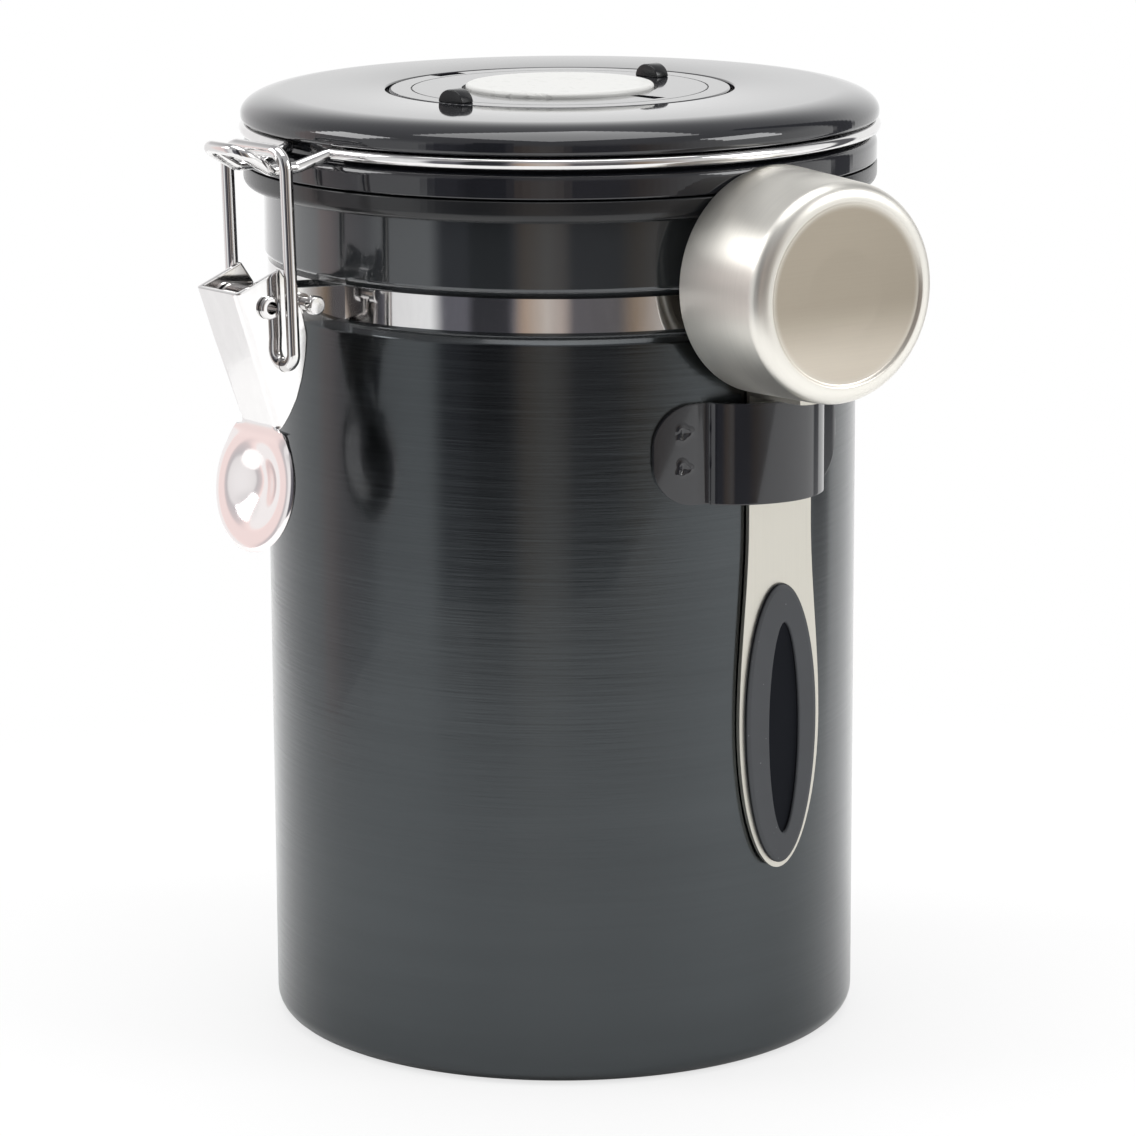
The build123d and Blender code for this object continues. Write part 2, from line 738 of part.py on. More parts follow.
def month_ring():
    """Inner dial ring, with a window over the month numbers."""
    low = ring_low()
    outer = ring_split_radius - ring_split_gap / 2
    step_outer = outer - ring_lip_width - small_gap
    inner = valve_cap_radius + dial_edge_gap
    lip_inner = inner - ring_lip_width
    lip_high = low + ring_lip_height
    ring = turned([(lip_inner, low, 0), (step_outer, low, 0), (step_outer, lip_high + small_gap, 0),
                   (outer, lip_high + small_gap, 0), (outer, cap_high, 0), (inner, cap_high, 0),
                   (inner, lip_high, 0), (lip_inner, lip_high, 0)])
    return ring - wedge(month_window_inner, month_window_outer, low - overrun, cap_high + overrun,
                        month_window_azimuth, month_window_half_angle)


def dial_knob(azimuth, distance):
    """Half-round finger tab that stands on a dial ring."""
    x, y = toward(azimuth, distance)
    blank = Rot(90, 0, 0) * Cylinder(knob_radius, knob_thickness)
    blank = fillet(blank.edges(), knob_edge)
    upper = Pos(0, 0, knob_radius) * Box(3 * knob_radius, 3 * knob_radius, 2 * knob_radius)
    return Pos(x, y, cap_high) * Rot(0, 0, azimuth) * (blank & upper)


def valve_body():
    """Valve housing through the lid, with the seat, its ports and the guide stem."""
    seat_top = dial_floor - dial_floor_thickness
    neck_inner = valve_seat_radius - wall - small_gap
    flange_low = valve_neck_low - valve_flange_height
    hub_inner = valve_flap_radius + overrun
    housing = turned([
        (0, seat_top - valve_seat_plate, 0), (valve_seat_radius - small_gap, seat_top - valve_seat_plate, 0),
        (valve_seat_radius - small_gap, valve_neck_low, 0), (valve_flange_radius, valve_neck_low, 0),
        (valve_flange_radius, flange_low, 0), (neck_inner, flange_low, 0),
        (neck_inner, seat_top - 2 * valve_seat_plate, 0),
        (0, seat_top - 2 * valve_seat_plate, 0)])
    rim = tube(valve_hub_radius, hub_inner, seat_top - valve_seat_plate, dial_floor + plate_thickness)
    stem_top = seat_top - valve_seat_plate + valve_flap_thickness + valve_stop_gap
    stem = upright(valve_stem_radius, seat_top - 2 * valve_seat_plate, stem_top)
    stop = upright(valve_stop_radius, stem_top, stem_top + valve_stop_height)
    housing = housing + rim + stem + stop
    for index in range(valve_port_count):
        place = toward(index * 360 / valve_port_count, valve_port_circle)
        housing -= upright(valve_port_radius, valve_neck_low - overrun, seat_top - valve_seat_plate, place)
    return housing


def valve_flap():
    """Silicone disc that lifts off the seat when gas leaves the coffee."""
    seat = dial_floor - dial_floor_thickness - valve_seat_plate
    return tube(valve_flap_radius, valve_stem_radius + running_gap, seat, seat + valve_flap_thickness)


def valve_filter():
    """Filter disc under the seat that keeps grounds out of the valve."""
    seat = dial_floor - dial_floor_thickness - 2 * valve_seat_plate
    return upright(filter_radius, seat - filter_thickness, seat)


def valve_cap():
    """White cover over the valve, a little proud of the dials."""
    low = ring_low() + ring_lip_height + small_gap
    inner = valve_cap_radius - valve_cap_rim
    roof = valve_cap_high - valve_cap_roof
    skirt_inner = valve_hub_radius - valve_cap_rim
    spigot_low = dial_floor + plate_thickness
    cap = turned([
        (0, valve_cap_high, 0), (valve_cap_radius, valve_cap_high, valve_cap_round),
        (valve_cap_radius, low, 0), (inner - small_gap, low, 0), (inner - small_gap, spigot_low, 0),
        (skirt_inner, spigot_low, 0),
        (skirt_inner, roof, 0), (0, roof, 0)])
    return cap


def latch_lever():
    """Pressed channel lever with a dished thumb tab."""
    front_top = Vector(lever_front_top_out, lever_front_top)
    foot = Vector(lever_front_foot_out, lever_front_foot)
    corners = [(front_top.X, front_top.Y, 0), (lever_rear_top_out, lever_rear_top, lever_top_round),
               (lever_bulge_out, lever_bulge_height, lever_bulge_round),
               (lever_waist_out, lever_waist_height, lever_waist_round),
               (lever_neck_out, lever_neck_height, 0), (foot.X, foot.Y, 0)]
    side_face = rounded_face(latch_plane, corners)
    half = lever_half_width
    blank = extrude(Pos(half, 0, 0) * side_face, amount=2 * half, dir=(-1, 0, 0))
    blank = fillet(front_edges(blank, front_top, foot), lever_ridge_round)
    along = (front_top - foot).normalized()
    inward = Vector(-along.Y, along.X) * lever_sheet
    reach = along * (2 * tab_radius)
    inner_top = front_top + inward + reach
    inner_foot = foot + inward - reach
    deep = Vector(-body_radius, 0)
    hollow = make_face(Polyline(inner_top, inner_foot, inner_foot + deep, inner_top + deep, close=True))
    inner_half = half - lever_sheet
    hollow_face = Pos(inner_half, 0, 0) * (latch_plane * hollow)
    channel = blank - extrude(hollow_face, amount=2 * inner_half, dir=(-1, 0, 0))
    lever = channel + thumb_tab()
    bore = pivot_radius + running_gap
    lever -= cross_pin(bore, -body_radius, body_radius, pivot_out, pivot_height)
    hook_bore = link_wire_radius + running_gap
    lever -= cross_pin(hook_bore, -body_radius, body_radius, hook_out, hook_height)
    return lever


def front_edges(blank, front_top, foot):
    """The two long edges of the lever's front face."""
    middle = (front_top + foot) * 0.5
    edges = blank.edges().filter_by(lambda edge: abs((edge @ 0.5).Z - middle.Y) < lever_sheet)
    return edges.filter_by(lambda edge: abs(-(edge @ 0.5).Y - middle.X) < lever_sheet)


def thumb_tab():
    """Round dished tab below the channel."""
    ring = [(0, -tab_dish_depth, 0), (tab_dish_radius / 2, -tab_dish_depth, tab_dish_depth),
            (tab_dish_radius, 0, tab_dish_depth / 2), (tab_radius, 0, 0), (tab_radius, -tab_sheet, 0),
            (tab_dish_radius + tab_sheet / 2, -tab_sheet, tab_dish_depth / 2),
            (tab_dish_radius / 2 + tab_sheet / 2, -tab_dish_depth - tab_sheet, tab_dish_depth / 2),
            (0, -tab_dish_depth - tab_sheet, 0)]
    disc = turned(ring)
    place = Pos(at_latch(tab_middle_out, tab_middle_height)) * Rot(90 + tab_lean, 0, 0)
    neck_top = lever_front_foot + lever_sheet
    neck_low = tab_middle_height + tab_radius - tab_neck_height
    lean = math.tan(math.radians(tab_lean))
    low_out = tab_middle_out - (neck_low - tab_middle_height) * lean
    top_out = tab_middle_out - (neck_top - tab_middle_height) * lean
    outline = Polyline((low_out, neck_low), (low_out - tab_sheet, neck_low), (top_out - tab_sheet, neck_top),
                       (top_out + tab_sheet, neck_top), close=True)
    neck_face = latch_plane * make_face(outline)
    half = tab_neck_half_width
    neck = extrude(Pos(half, 0, 0) * neck_face, amount=2 * half, dir=(-1, 0, 0))
    return place * disc + neck


def latch_link():
    """Wire link: a bar over the nose, two legs and two hooks in the lever."""
    path = FilletPolyline(
        at_latch(hook_out, hook_height, -link_hook_inner), at_latch(hook_out, hook_height, -link_side),
        at_latch(link_bar_out, link_bar_height, -link_side),
        at_latch(link_bar_out, link_bar_height, link_side),
        at_latch(hook_out, hook_height, link_side), at_latch(hook_out, hook_height, link_hook_inner),
        radius=[link_hook_corner, link_top_corner, link_top_corner, link_hook_corner])
    return wire_along(path, link_wire_radius)


scoop_plane = Plane(origin=(0, 0, 0), x_dir=(math.cos(math.radians(scoop_azimuth)),
                                            math.sin(math.radians(scoop_azimuth)), 0),
                    z_dir=(math.sin(math.radians(scoop_azimuth)), -math.cos(math.radians(scoop_azimuth)), 0))


def scoop_bowl():
    """Drawn steel bowl that faces the wall of the body."""
    rim, end, depth = bowl_rim_radius, bowl_end_radius, bowl_depth
    profile = [(0, depth, 0), (end, depth, bowl_corner), (rim, 0, 0), (rim - bowl_wall, 0, 0),
               (end - bowl_wall, depth - bowl_wall, bowl_corner - bowl_wall), (0, depth - bowl_wall, 0)]
    bowl = turned(profile)
    place = scoop_plane * Pos(bowl_side, bowl_height, bowl_rim_distance)
    return place * bowl


def low_end(half, low):
    """The round lower end of the handle, or of its pad, up to the widest height."""
    return EllipticalCenterArc(
        (scoop_side, handle_mid_height), half, handle_mid_height - low, start_angle=180, arc_size=180)


def handle_face(top):
    """Face of the handle blade: a straight neck, a wide middle and a round lower end."""
    half_top = handle_top_width / 2
    half_mid = handle_mid_width / 2
    left, right = scoop_side - half_mid, scoop_side + half_mid
    neck_left, neck_right = scoop_side - half_top, scoop_side + half_top
    upward, downward = (0, 1), (0, -1)
    return make_face(Wire([
        low_end(half_mid, handle_low),
        Spline((right, handle_mid_height), (neck_right, handle_neck_height), tangents=[upward, upward]),
        Line((neck_right, handle_neck_height), (neck_right, top)), Line((neck_right, top), (neck_left, top)),
        Line((neck_left, top), (neck_left, handle_neck_height)),
        Spline((neck_left, handle_neck_height), (left, handle_mid_height), tangents=[downward, downward])]))


def scoop_handle():
    """Steel strip from under the bowl, where it is curved to fit, down through the clip."""
    blade = extrude(Pos(0, 0, handle_distance) * handle_face(bowl_height), amount=handle_sheet)
    place = Pos(bowl_side, bowl_height, bowl_rim_distance)
    start = handle_distance - bowl_rim_distance
    rim = bowl_rim_radius
    tip = rim - (rim - bowl_end_radius) * tab_seat_length / bowl_depth
    saddle = place * turned([
        (rim, start, 0), (rim, 0, 0), (tip, tab_seat_length, 0), (tip + handle_sheet, tab_seat_length, 0),
        (rim + handle_sheet, 0, 0), (rim + handle_sheet, start, 0)])
    length = tab_seat_length - start
    strip = Pos(scoop_side, bowl_height - rim, handle_distance + length / 2) * Box(
        handle_top_width, 2 * rim, length)
    blade -= place * Pos(0, 0, start) * Cylinder(rim, 2 * handle_sheet)
    return scoop_plane * (blade + (saddle & strip))


def grip_face():
    """Outline of the soft pad, inside the edge of the handle and round at both ends."""
    half = handle_mid_width / 2 - grip_inset
    high_end = EllipticalCenterArc(
        (scoop_side, handle_mid_height), half, grip_high - handle_mid_height, start_angle=0, arc_size=180)
    return make_face(Wire([low_end(half, handle_low + grip_inset), high_end]))


def scoop_grip():
    """Soft pad set on the outer side of the handle, with a long shallow groove."""
    pad = extrude(Pos(0, 0, handle_distance + handle_sheet) * grip_face(), amount=grip_thickness)
    half = grip_groove_width / 2
    middle = (grip_groove_low + grip_groove_high) / 2
    low_tip, high_tip = (scoop_side, grip_groove_low), (scoop_side, grip_groove_high)
    groove = make_face(Wire([
        ThreePointArc(low_tip, (scoop_side - half, middle), high_tip),
        ThreePointArc(high_tip, (scoop_side + half, middle), low_tip)]))
    top = handle_distance + handle_sheet + grip_thickness
    cut = extrude(Pos(0, 0, top - grip_groove_depth) * groove, amount=grip_groove_depth + overrun)
    return scoop_plane * (pad - cut)


def save(name, solids):
    """Write one piece, or a group of like pieces, to its own file."""
    group = solids if isinstance(solids, list) else [solids]
    shape = group[0] if len(group) == 1 else Compound(children=group)
    export_step(shape, os.path.join("parts", name + ".step"))


os.makedirs("parts", exist_ok=True)
for piece in (canister_body, rim_collar, neck_band, band_screw, band_nut, latch_pivot_rivet, hinge_bracket,
              hinge_rivets, scoop_clip, lid_cap, lid_base, lid_gasket, lid_screws, bail_hoop, number_plate,
              day_ring, month_ring, valve_body, valve_flap, valve_filter, valve_cap, latch_lever, latch_link,
              scoop_bowl, scoop_handle, scoop_grip):
    save(piece.__name__, piece())
save("day_knob", dial_knob(day_knob_azimuth, day_knob_radius_place))
save("month_knob", dial_knob(month_knob_azimuth, month_knob_radius_place))
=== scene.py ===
import logging
import math
from dataclasses import dataclass
from enum import Enum
from typing import Callable, ClassVar, Optional, Sequence, Union

import bpy
from mathutils import Matrix, Vector


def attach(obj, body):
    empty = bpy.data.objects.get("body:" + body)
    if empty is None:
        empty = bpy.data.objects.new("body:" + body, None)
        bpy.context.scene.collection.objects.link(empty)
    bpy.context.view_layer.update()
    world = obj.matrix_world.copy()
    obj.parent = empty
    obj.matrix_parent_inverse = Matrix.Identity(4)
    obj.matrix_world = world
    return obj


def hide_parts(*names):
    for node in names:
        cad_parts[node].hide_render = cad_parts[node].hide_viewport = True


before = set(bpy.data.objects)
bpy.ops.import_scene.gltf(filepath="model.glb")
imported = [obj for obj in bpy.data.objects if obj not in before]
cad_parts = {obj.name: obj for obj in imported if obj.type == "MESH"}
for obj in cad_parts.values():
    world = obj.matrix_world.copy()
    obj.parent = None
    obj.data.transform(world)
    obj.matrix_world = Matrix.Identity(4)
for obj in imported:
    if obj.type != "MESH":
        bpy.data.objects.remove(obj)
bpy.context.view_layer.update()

log = logging.getLogger("canister")
MM = 0.001
SCOOP_TURN = 84.0  # azimuth of the scoop, in degrees
SCOOP_SIDE, SCOOP_HEIGHT, SCOOP_END = 5.6, 159.8, 88.6  # middle of the bowl's end in the scoop's own plane
FINE = (3.0, 0.6)  # detail and roughness of brushing
PLAIN = (1.0, 1.0, 1.0)
Point = tuple[float, float]
Triple = tuple[float, float, float]
Value = Union["Signal", float]


# Shader arithmetic and node making
class Signal:
    """One shader socket that takes part in Python arithmetic."""

    def __init__(self, recipe: "Recipe", socket: bpy.types.NodeSocket) -> None:
        """Keep the socket and the recipe that it belongs to."""
        self.recipe = recipe
        self.socket = socket

    def maths(self, operation: str, *others: Value) -> "Signal":
        """The result of a Math node on this signal and others."""
        return self.recipe.node("ShaderNodeMath", {"operation": operation}, self, *others)

    def __add__(self, other: Value) -> "Signal":
        """Sum of two signals."""
        return self.maths("ADD", other)

    def __mul__(self, other: Value) -> "Signal":
        """Product of two signals."""
        return self.maths("MULTIPLY", other)

    def __sub__(self, other: Value) -> "Signal":
        """Difference of two signals."""
        return self.maths("SUBTRACT", other)

    def __rsub__(self, other: float) -> "Signal":
        """A number less this signal."""
        return self.maths("MULTIPLY", -1.0) + other

    def __truediv__(self, other: Value) -> "Signal":
        """Quotient of two signals."""
        return self.maths("DIVIDE", other)

    def __pow__(self, other: float) -> "Signal":
        """Power of a signal."""
        return self.maths("POWER", other)

    def between(self, low: float, high: float) -> "Signal":
        """A smooth step from 0 at low to 1 at high, which may be less than low."""
        return self.recipe.node(
            "ShaderNodeMapRange", {"interpolation_type": "SMOOTHSTEP", "clamp": True},
            Value=self, From_Min=low, From_Max=high)


class Recipe:
    """Builds one node tree."""

    def __init__(self, tree: bpy.types.NodeTree) -> None:
        """Empty the tree and keep it."""
        self.tree = tree
        tree.nodes.clear()

    @staticmethod
    def material(name: str) -> tuple[bpy.types.Material, "Recipe"]:
        """A new material and the recipe of its tree."""
        material = bpy.data.materials.new(name)
        material.use_nodes = True
        return material, Recipe(material.node_tree)

    def node(self, kind: str, settings: Optional[dict] = None, *inputs, pick: int = 0, **named) -> Signal:
        """Add one node.

        Args:
            kind: The node's type.
            settings: Attributes that are set before the sockets; "stops" fills a colour ramp.
            inputs: Values or signals for the sockets in order.
            pick: Which output is returned.
            named: Values or signals for sockets by name, with _ for a space.

        Returns:
            The chosen output.
        """
        made = self.tree.nodes.new(kind)
        for key, value in (settings or {}).items():
            if key == "stops":
                self.fill_ramp(made.color_ramp, value)
            else:
                setattr(made, key, value)
        for index, value in enumerate(inputs):
            self.feed(made.inputs[index], value)
        for key, value in named.items():
            self.feed(made.inputs[key.replace("_", " ")], value)
        shown = [socket for socket in made.outputs if socket.enabled]
        return Signal(self, (shown or made.outputs)[pick]) if made.outputs else None

    def feed(self, socket: bpy.types.NodeSocket, value: Union[Value, Sequence[float]]) -> None:
        """Link a signal to a socket, or set its value."""
        if isinstance(value, Signal):
            self.tree.links.new(value.socket, socket)
        else:
            socket.default_value = value

    @staticmethod
    def fill_ramp(ramp: bpy.types.ColorRamp, stops: Sequence[tuple[float, Triple]]) -> None:
        """Give a colour ramp its stops, each a place and a colour."""
        while len(ramp.elements) < len(stops):
            ramp.elements.new(1.0)
        for element, (place, color) in zip(ramp.elements, stops):
            element.position = place
            element.color = (*color, 1.0)

    def place(self) -> Signal:
        """Object coordinates in metres."""
        return self.node("ShaderNodeTexCoord", {}, pick=3)

    def axes(self, vector: Signal) -> list[Signal]:
        """The three parts of a vector."""
        outputs = self.node("ShaderNodeSeparateXYZ", {}, vector).socket.node.outputs
        return [Signal(self, output) for output in outputs]

    def mapped(self, vector: Signal, scale: Triple, turn: float = 0.0) -> Signal:
        """A vector scaled and turned about Z by a Mapping node."""
        return self.node("ShaderNodeMapping", {"vector_type": "POINT"}, vector, (0, 0, 0), (0, 0, turn), scale)

    def noise(self, vector: Signal, scale: float, detail: float = 2.0, roughness: float = 0.5) -> Signal:
        """Noise from 0 to 1."""
        return self.node("ShaderNodeTexNoise", {}, Vector=vector, Scale=scale, Detail=detail, Roughness=roughness)

    def streaks(self, vector: Signal, scale: Triple, detail: float = 2.0, roughness: float = 0.5,
                turn: float = 0.0) -> Signal:
        """Noise that is drawn out by a scale of its own along each axis."""
        return self.noise(self.mapped(vector, scale, turn), 1.0, detail, roughness)

    def mix(self, factor: Value, first: Union[Signal, Triple], second: Union[Signal, Triple]) -> Signal:
        """A mix of two colours, either of which may be a signal."""
        made = self.tree.nodes.new("ShaderNodeMix")
        made.data_type = "RGBA"
        self.feed(made.inputs[0], factor)
        for socket, color in ((made.inputs[6], first), (made.inputs[7], second)):
            self.feed(socket, color if isinstance(color, Signal) else (*color[:3], 1.0))
        return Signal(self, made.outputs[2])

    def shades(self, factor: Signal, color: Triple, low: float, high: float) -> Signal:
        """A colour that runs from its low to its high multiple with a factor."""
        return self.mix(factor, [part * low for part in color], [part * high for part in color])

    def bump(self, height: Signal, distance: float, strength: float = 1.0, **normal: Signal) -> Signal:
        """A bumped normal from a height signal, with its distance in metres."""
        return self.node("ShaderNodeBump", {}, Height=height, Distance=distance, Strength=strength, **normal)

    def surface(self, shader: Signal) -> None:
        """End a material with its surface shader."""
        self.node("ShaderNodeOutputMaterial", {}, Surface=shader)


@dataclass(frozen=True)
class Finish:
    """A named surface finish, made once and then shared."""

    made: ClassVar[dict[str, bpy.types.Material]] = {}
    name: str = "finish"
    color: Triple = (0.5, 0.5, 0.5)
    roughness: float = 0.5

    def material(self) -> bpy.types.Material:
        """The finish's material, built on first use."""
        if self.name not in Finish.made:
            Finish.made[self.name], recipe = Recipe.material(self.name)
            recipe.surface(self.surface(recipe))
        return Finish.made[self.name]

    def surface(self, recipe: Recipe) -> Signal:
        """Build the surface shader; each finish has its own."""
        raise NotImplementedError

    @staticmethod
    def principled(recipe: Recipe, **sockets) -> Signal:
        """A principled shader with the given sockets."""
        return recipe.node("ShaderNodeBsdfPrincipled", {}, **sockets)


@dataclass(frozen=True)
class BrushedLacquer(Finish):
    """Clear black lacquer over steel that is brushed round the body."""

    name: str = "brushed_lacquer"
    color: Triple = (0.048, 0.053, 0.057)
    brushed_color: Triple = (0.062, 0.069, 0.073)
    coat: float = 1.0
    coat_loss: float = 0.75
    coat_rough: float = 0.06
    metallic: float = 0.6
    metallic_gain: float = 0.4
    roughness: float = 0.13
    roughness_gain: float = 0.09
    line_rough: float = 0.16
    cloud_rough: float = 0.05
    dark: float = 0.78
    light: float = 1.22
    anisotropic: float = 0.7
    brushed_low: float = 0.1475
    brushed_high: float = 0.1515
    line_scale: Triple = (26.0, 26.0, 3400.0)
    line_depth: float = 0.000012
    broad_scale: Triple = (9.0, 9.0, 160.0)
    stroke_scale: Triple = (48.0, 48.0, 1150.0)
    stroke_depth: float = 0.00003

    def surface(self, recipe: Recipe) -> Signal:
        """Brushed below the neck band and smooth above it."""
        place = recipe.place()
        brushed = recipe.axes(place)[2].between(self.brushed_high, self.brushed_low)
        lines = recipe.streaks(place, self.line_scale, *FINE)
        broad = recipe.streaks(place, self.broad_scale)
        strokes = recipe.streaks(place, self.stroke_scale)
        cloud = recipe.noise(place, 55.0, 3.0)
        rough = brushed * self.roughness_gain + self.roughness
        rough = rough + (lines - 0.5) * brushed * self.line_rough + (cloud - 0.5) * self.cloud_rough
        tone = recipe.shades(lines * 0.5 + broad * 0.5, self.brushed_color, self.dark, self.light)
        normal = recipe.bump(strokes * brushed, self.stroke_depth, 1.0,
                             Normal=recipe.bump(lines * brushed, self.line_depth, 0.9))
        return self.principled(
            recipe, Base_Color=recipe.mix(brushed, self.color, tone), Roughness=rough, Normal=normal,
            Metallic=brushed * self.metallic_gain + self.metallic, Anisotropic=self.anisotropic,
            Anisotropic_Rotation=0.25, Coat_Weight=self.coat - brushed * self.coat_loss,
            Coat_Roughness=self.coat_rough, Coat_IOR=1.5)


@dataclass(frozen=True)
class GlossBlack(Finish):
    """Polished black enamel or plastic with faint handling marks."""

    name: str = "gloss_black"
    color: Triple = (0.0105, 0.011, 0.0135)
    roughness: float = 0.035
    dark: float = 0.8
    light: float = 1.5
    marks_rough: float = 0.05
    scratch_scale: Triple = (900.0, 60.0, 300.0)
    scratch_turn: float = 0.7
    scratch_range: Point = (0.68, 0.8)
    wave_depth: float = 0.00001

    def surface(self, recipe: Recipe) -> Signal:
        """Deep black with a thin uneven polish."""
        place = recipe.place()
        smear = recipe.noise(place, 60.0, 4.0, 0.6)
        scratch = recipe.streaks(place, self.scratch_scale, turn=self.scratch_turn).between(*self.scratch_range)
        return self.principled(
            recipe, Base_Color=recipe.shades(smear, self.color, self.dark, self.light), IOR=1.52, Coat_Weight=0.5,
            Roughness=smear * self.marks_rough + scratch * self.marks_rough + self.roughness, Coat_Roughness=0.03,
            Normal=recipe.bump(recipe.noise(place, 240.0), self.wave_depth, 0.25))


@dataclass(frozen=True)
class Moulded(Finish):
    """A plastic with a cloudy tone and a fine grain."""

    cloud_scale: float = 130.0
    cloud_rough: float = 0.1
    dark: float = 0.94
    light: float = 1.0
    grain_scale: float = 2400.0
    grain_rough: float = 0.0
    grain_depth: float = 0.000008
    grain_strength: float = 0.25

    def surface(self, recipe: Recipe) -> Signal:
        """Faint unevenness in tone and polish."""
        place = recipe.place()
        cloud = recipe.noise(place, self.cloud_scale, 3.0)
        grain = recipe.noise(place, self.grain_scale)
        return self.principled(
            recipe, Base_Color=recipe.shades(cloud, self.color, self.dark, self.light), IOR=1.5,
            Roughness=cloud * self.cloud_rough + grain * self.grain_rough + self.roughness,
            Normal=recipe.bump(grain, self.grain_depth, self.grain_strength))


@dataclass(frozen=True)
class SatinBlack(Moulded):
    """Moulded black plastic with a satin skin."""

    name: str = "satin_black"
    color: Triple = (0.011, 0.0115, 0.0125)
    roughness: float = 0.14
    cloud_scale: float = 70.0
    cloud_rough: float = 0.08
    dark: float = 0.8
    light: float = 1.3
    grain_scale: float = 2600.0
    grain_rough: float = 0.05
    grain_strength: float = 0.3


@dataclass(frozen=True)
class WhitePlastic(Moulded):
    """Moulded white plastic, slightly cream."""

    name: str = "white_plastic"
    color: Triple = (0.78, 0.77, 0.73)
    roughness: float = 0.27


@dataclass(frozen=True)
class MarkedPlastic(Finish):
    """White plastic of the valve cap, with the faint marks of its mould."""

    name: str = "marked_plastic"
    color: Triple = (0.66, 0.66, 0.64)
    roughness: float = 0.27
    mark_color: Triple = (0.52, 0.52, 0.50)
    dark: float = 0.93
    mark_share: float = 0.35
    mark_range: Point = (0.62, 0.70)
    mark_scale: Triple = (420.0, 700.0, 420.0)
    mark_depth: float = 0.00012

    def surface(self, recipe: Recipe) -> Signal:
        """Shallow dimples and rubbed patches."""
        place = recipe.place()
        cloud = recipe.noise(place, 260.0, 3.0)
        marks = recipe.streaks(place, self.mark_scale, 1.0).between(*self.mark_range)
        tone = recipe.mix(marks * self.mark_share, recipe.shades(cloud, self.color, self.dark, 1.0), self.mark_color)
        return self.principled(recipe, Base_Color=tone, Roughness=cloud * 0.1 + self.roughness,
                               Normal=recipe.bump(1.0 - marks, self.mark_depth, 0.5))


@dataclass(frozen=True)
class Chrome(Finish):
    """Bright plated steel, a little wavy where it is pressed from sheet."""

    name: str = "chrome"
    color: Triple = (0.80, 0.79, 0.785)
    roughness: float = 0.025
    rub_rough: float = 0.07
    wave_rough: float = 0.03
    rub_scale: Triple = (400.0, 400.0, 90.0)
    dark: float = 0.93
    light: float = 1.05
    wave_depth: float = 0.00006

    def surface(self, recipe: Recipe) -> Signal:
        """Polish with faint rub marks."""
        place = recipe.place()
        wave = recipe.noise(place, 85.0)
        rub = recipe.streaks(place, self.rub_scale, *FINE)
        tone, rough = self.changed(recipe, place, recipe.shades(rub, self.color, self.dark, self.light),
                                   rub * self.rub_rough + wave * self.wave_rough + self.roughness)
        return self.principled(recipe, Base_Color=tone, Metallic=1.0, Roughness=rough,
                               Normal=recipe.bump(wave, self.wave_depth, 0.35))

    def changed(self, recipe: Recipe, place: Signal, tone: Signal, rough: Signal) -> tuple[Signal, Signal]:
        """The tone and roughness after changes from place to place, of which plain chrome has none."""
        return tone, rough


@dataclass(frozen=True)
class TabChrome(Chrome):
    """Plated sheet, duller on the thumb tab, where a rosy painted reflection is given to its colour."""

    name: str = "tab_chrome"
    roughness: float = 0.04
    rub_rough: float = 0.06
    dark: float = 1.02
    light: float = 1.15
    # Painted reflection: a rosy tint that stands in for what the tab's chrome reflects.
    rosy: Triple = (0.95, 0.90, 0.89)
    tab_rough: float = 0.03
    tab_high: float = 0.1325
    tab_low: float = 0.1290

    def changed(self, recipe: Recipe, place: Signal, tone: Signal, rough: Signal) -> tuple[Signal, Signal]:
        """The tone and roughness: a rosy painted reflection and a duller polish on the tab."""
        tab = recipe.axes(place)[2].between(self.tab_high, self.tab_low)
        # Painted reflection: the tab's colour is tinted rosy; the duller roughness there is real.
        return recipe.mix(tab, tone, self.rosy), rough + tab * self.tab_rough


class Grain(Enum):
    """Which way the brushing of the scoop's steel runs."""

    TURNED = "turned"
    LENGTHWISE = "lengthwise"


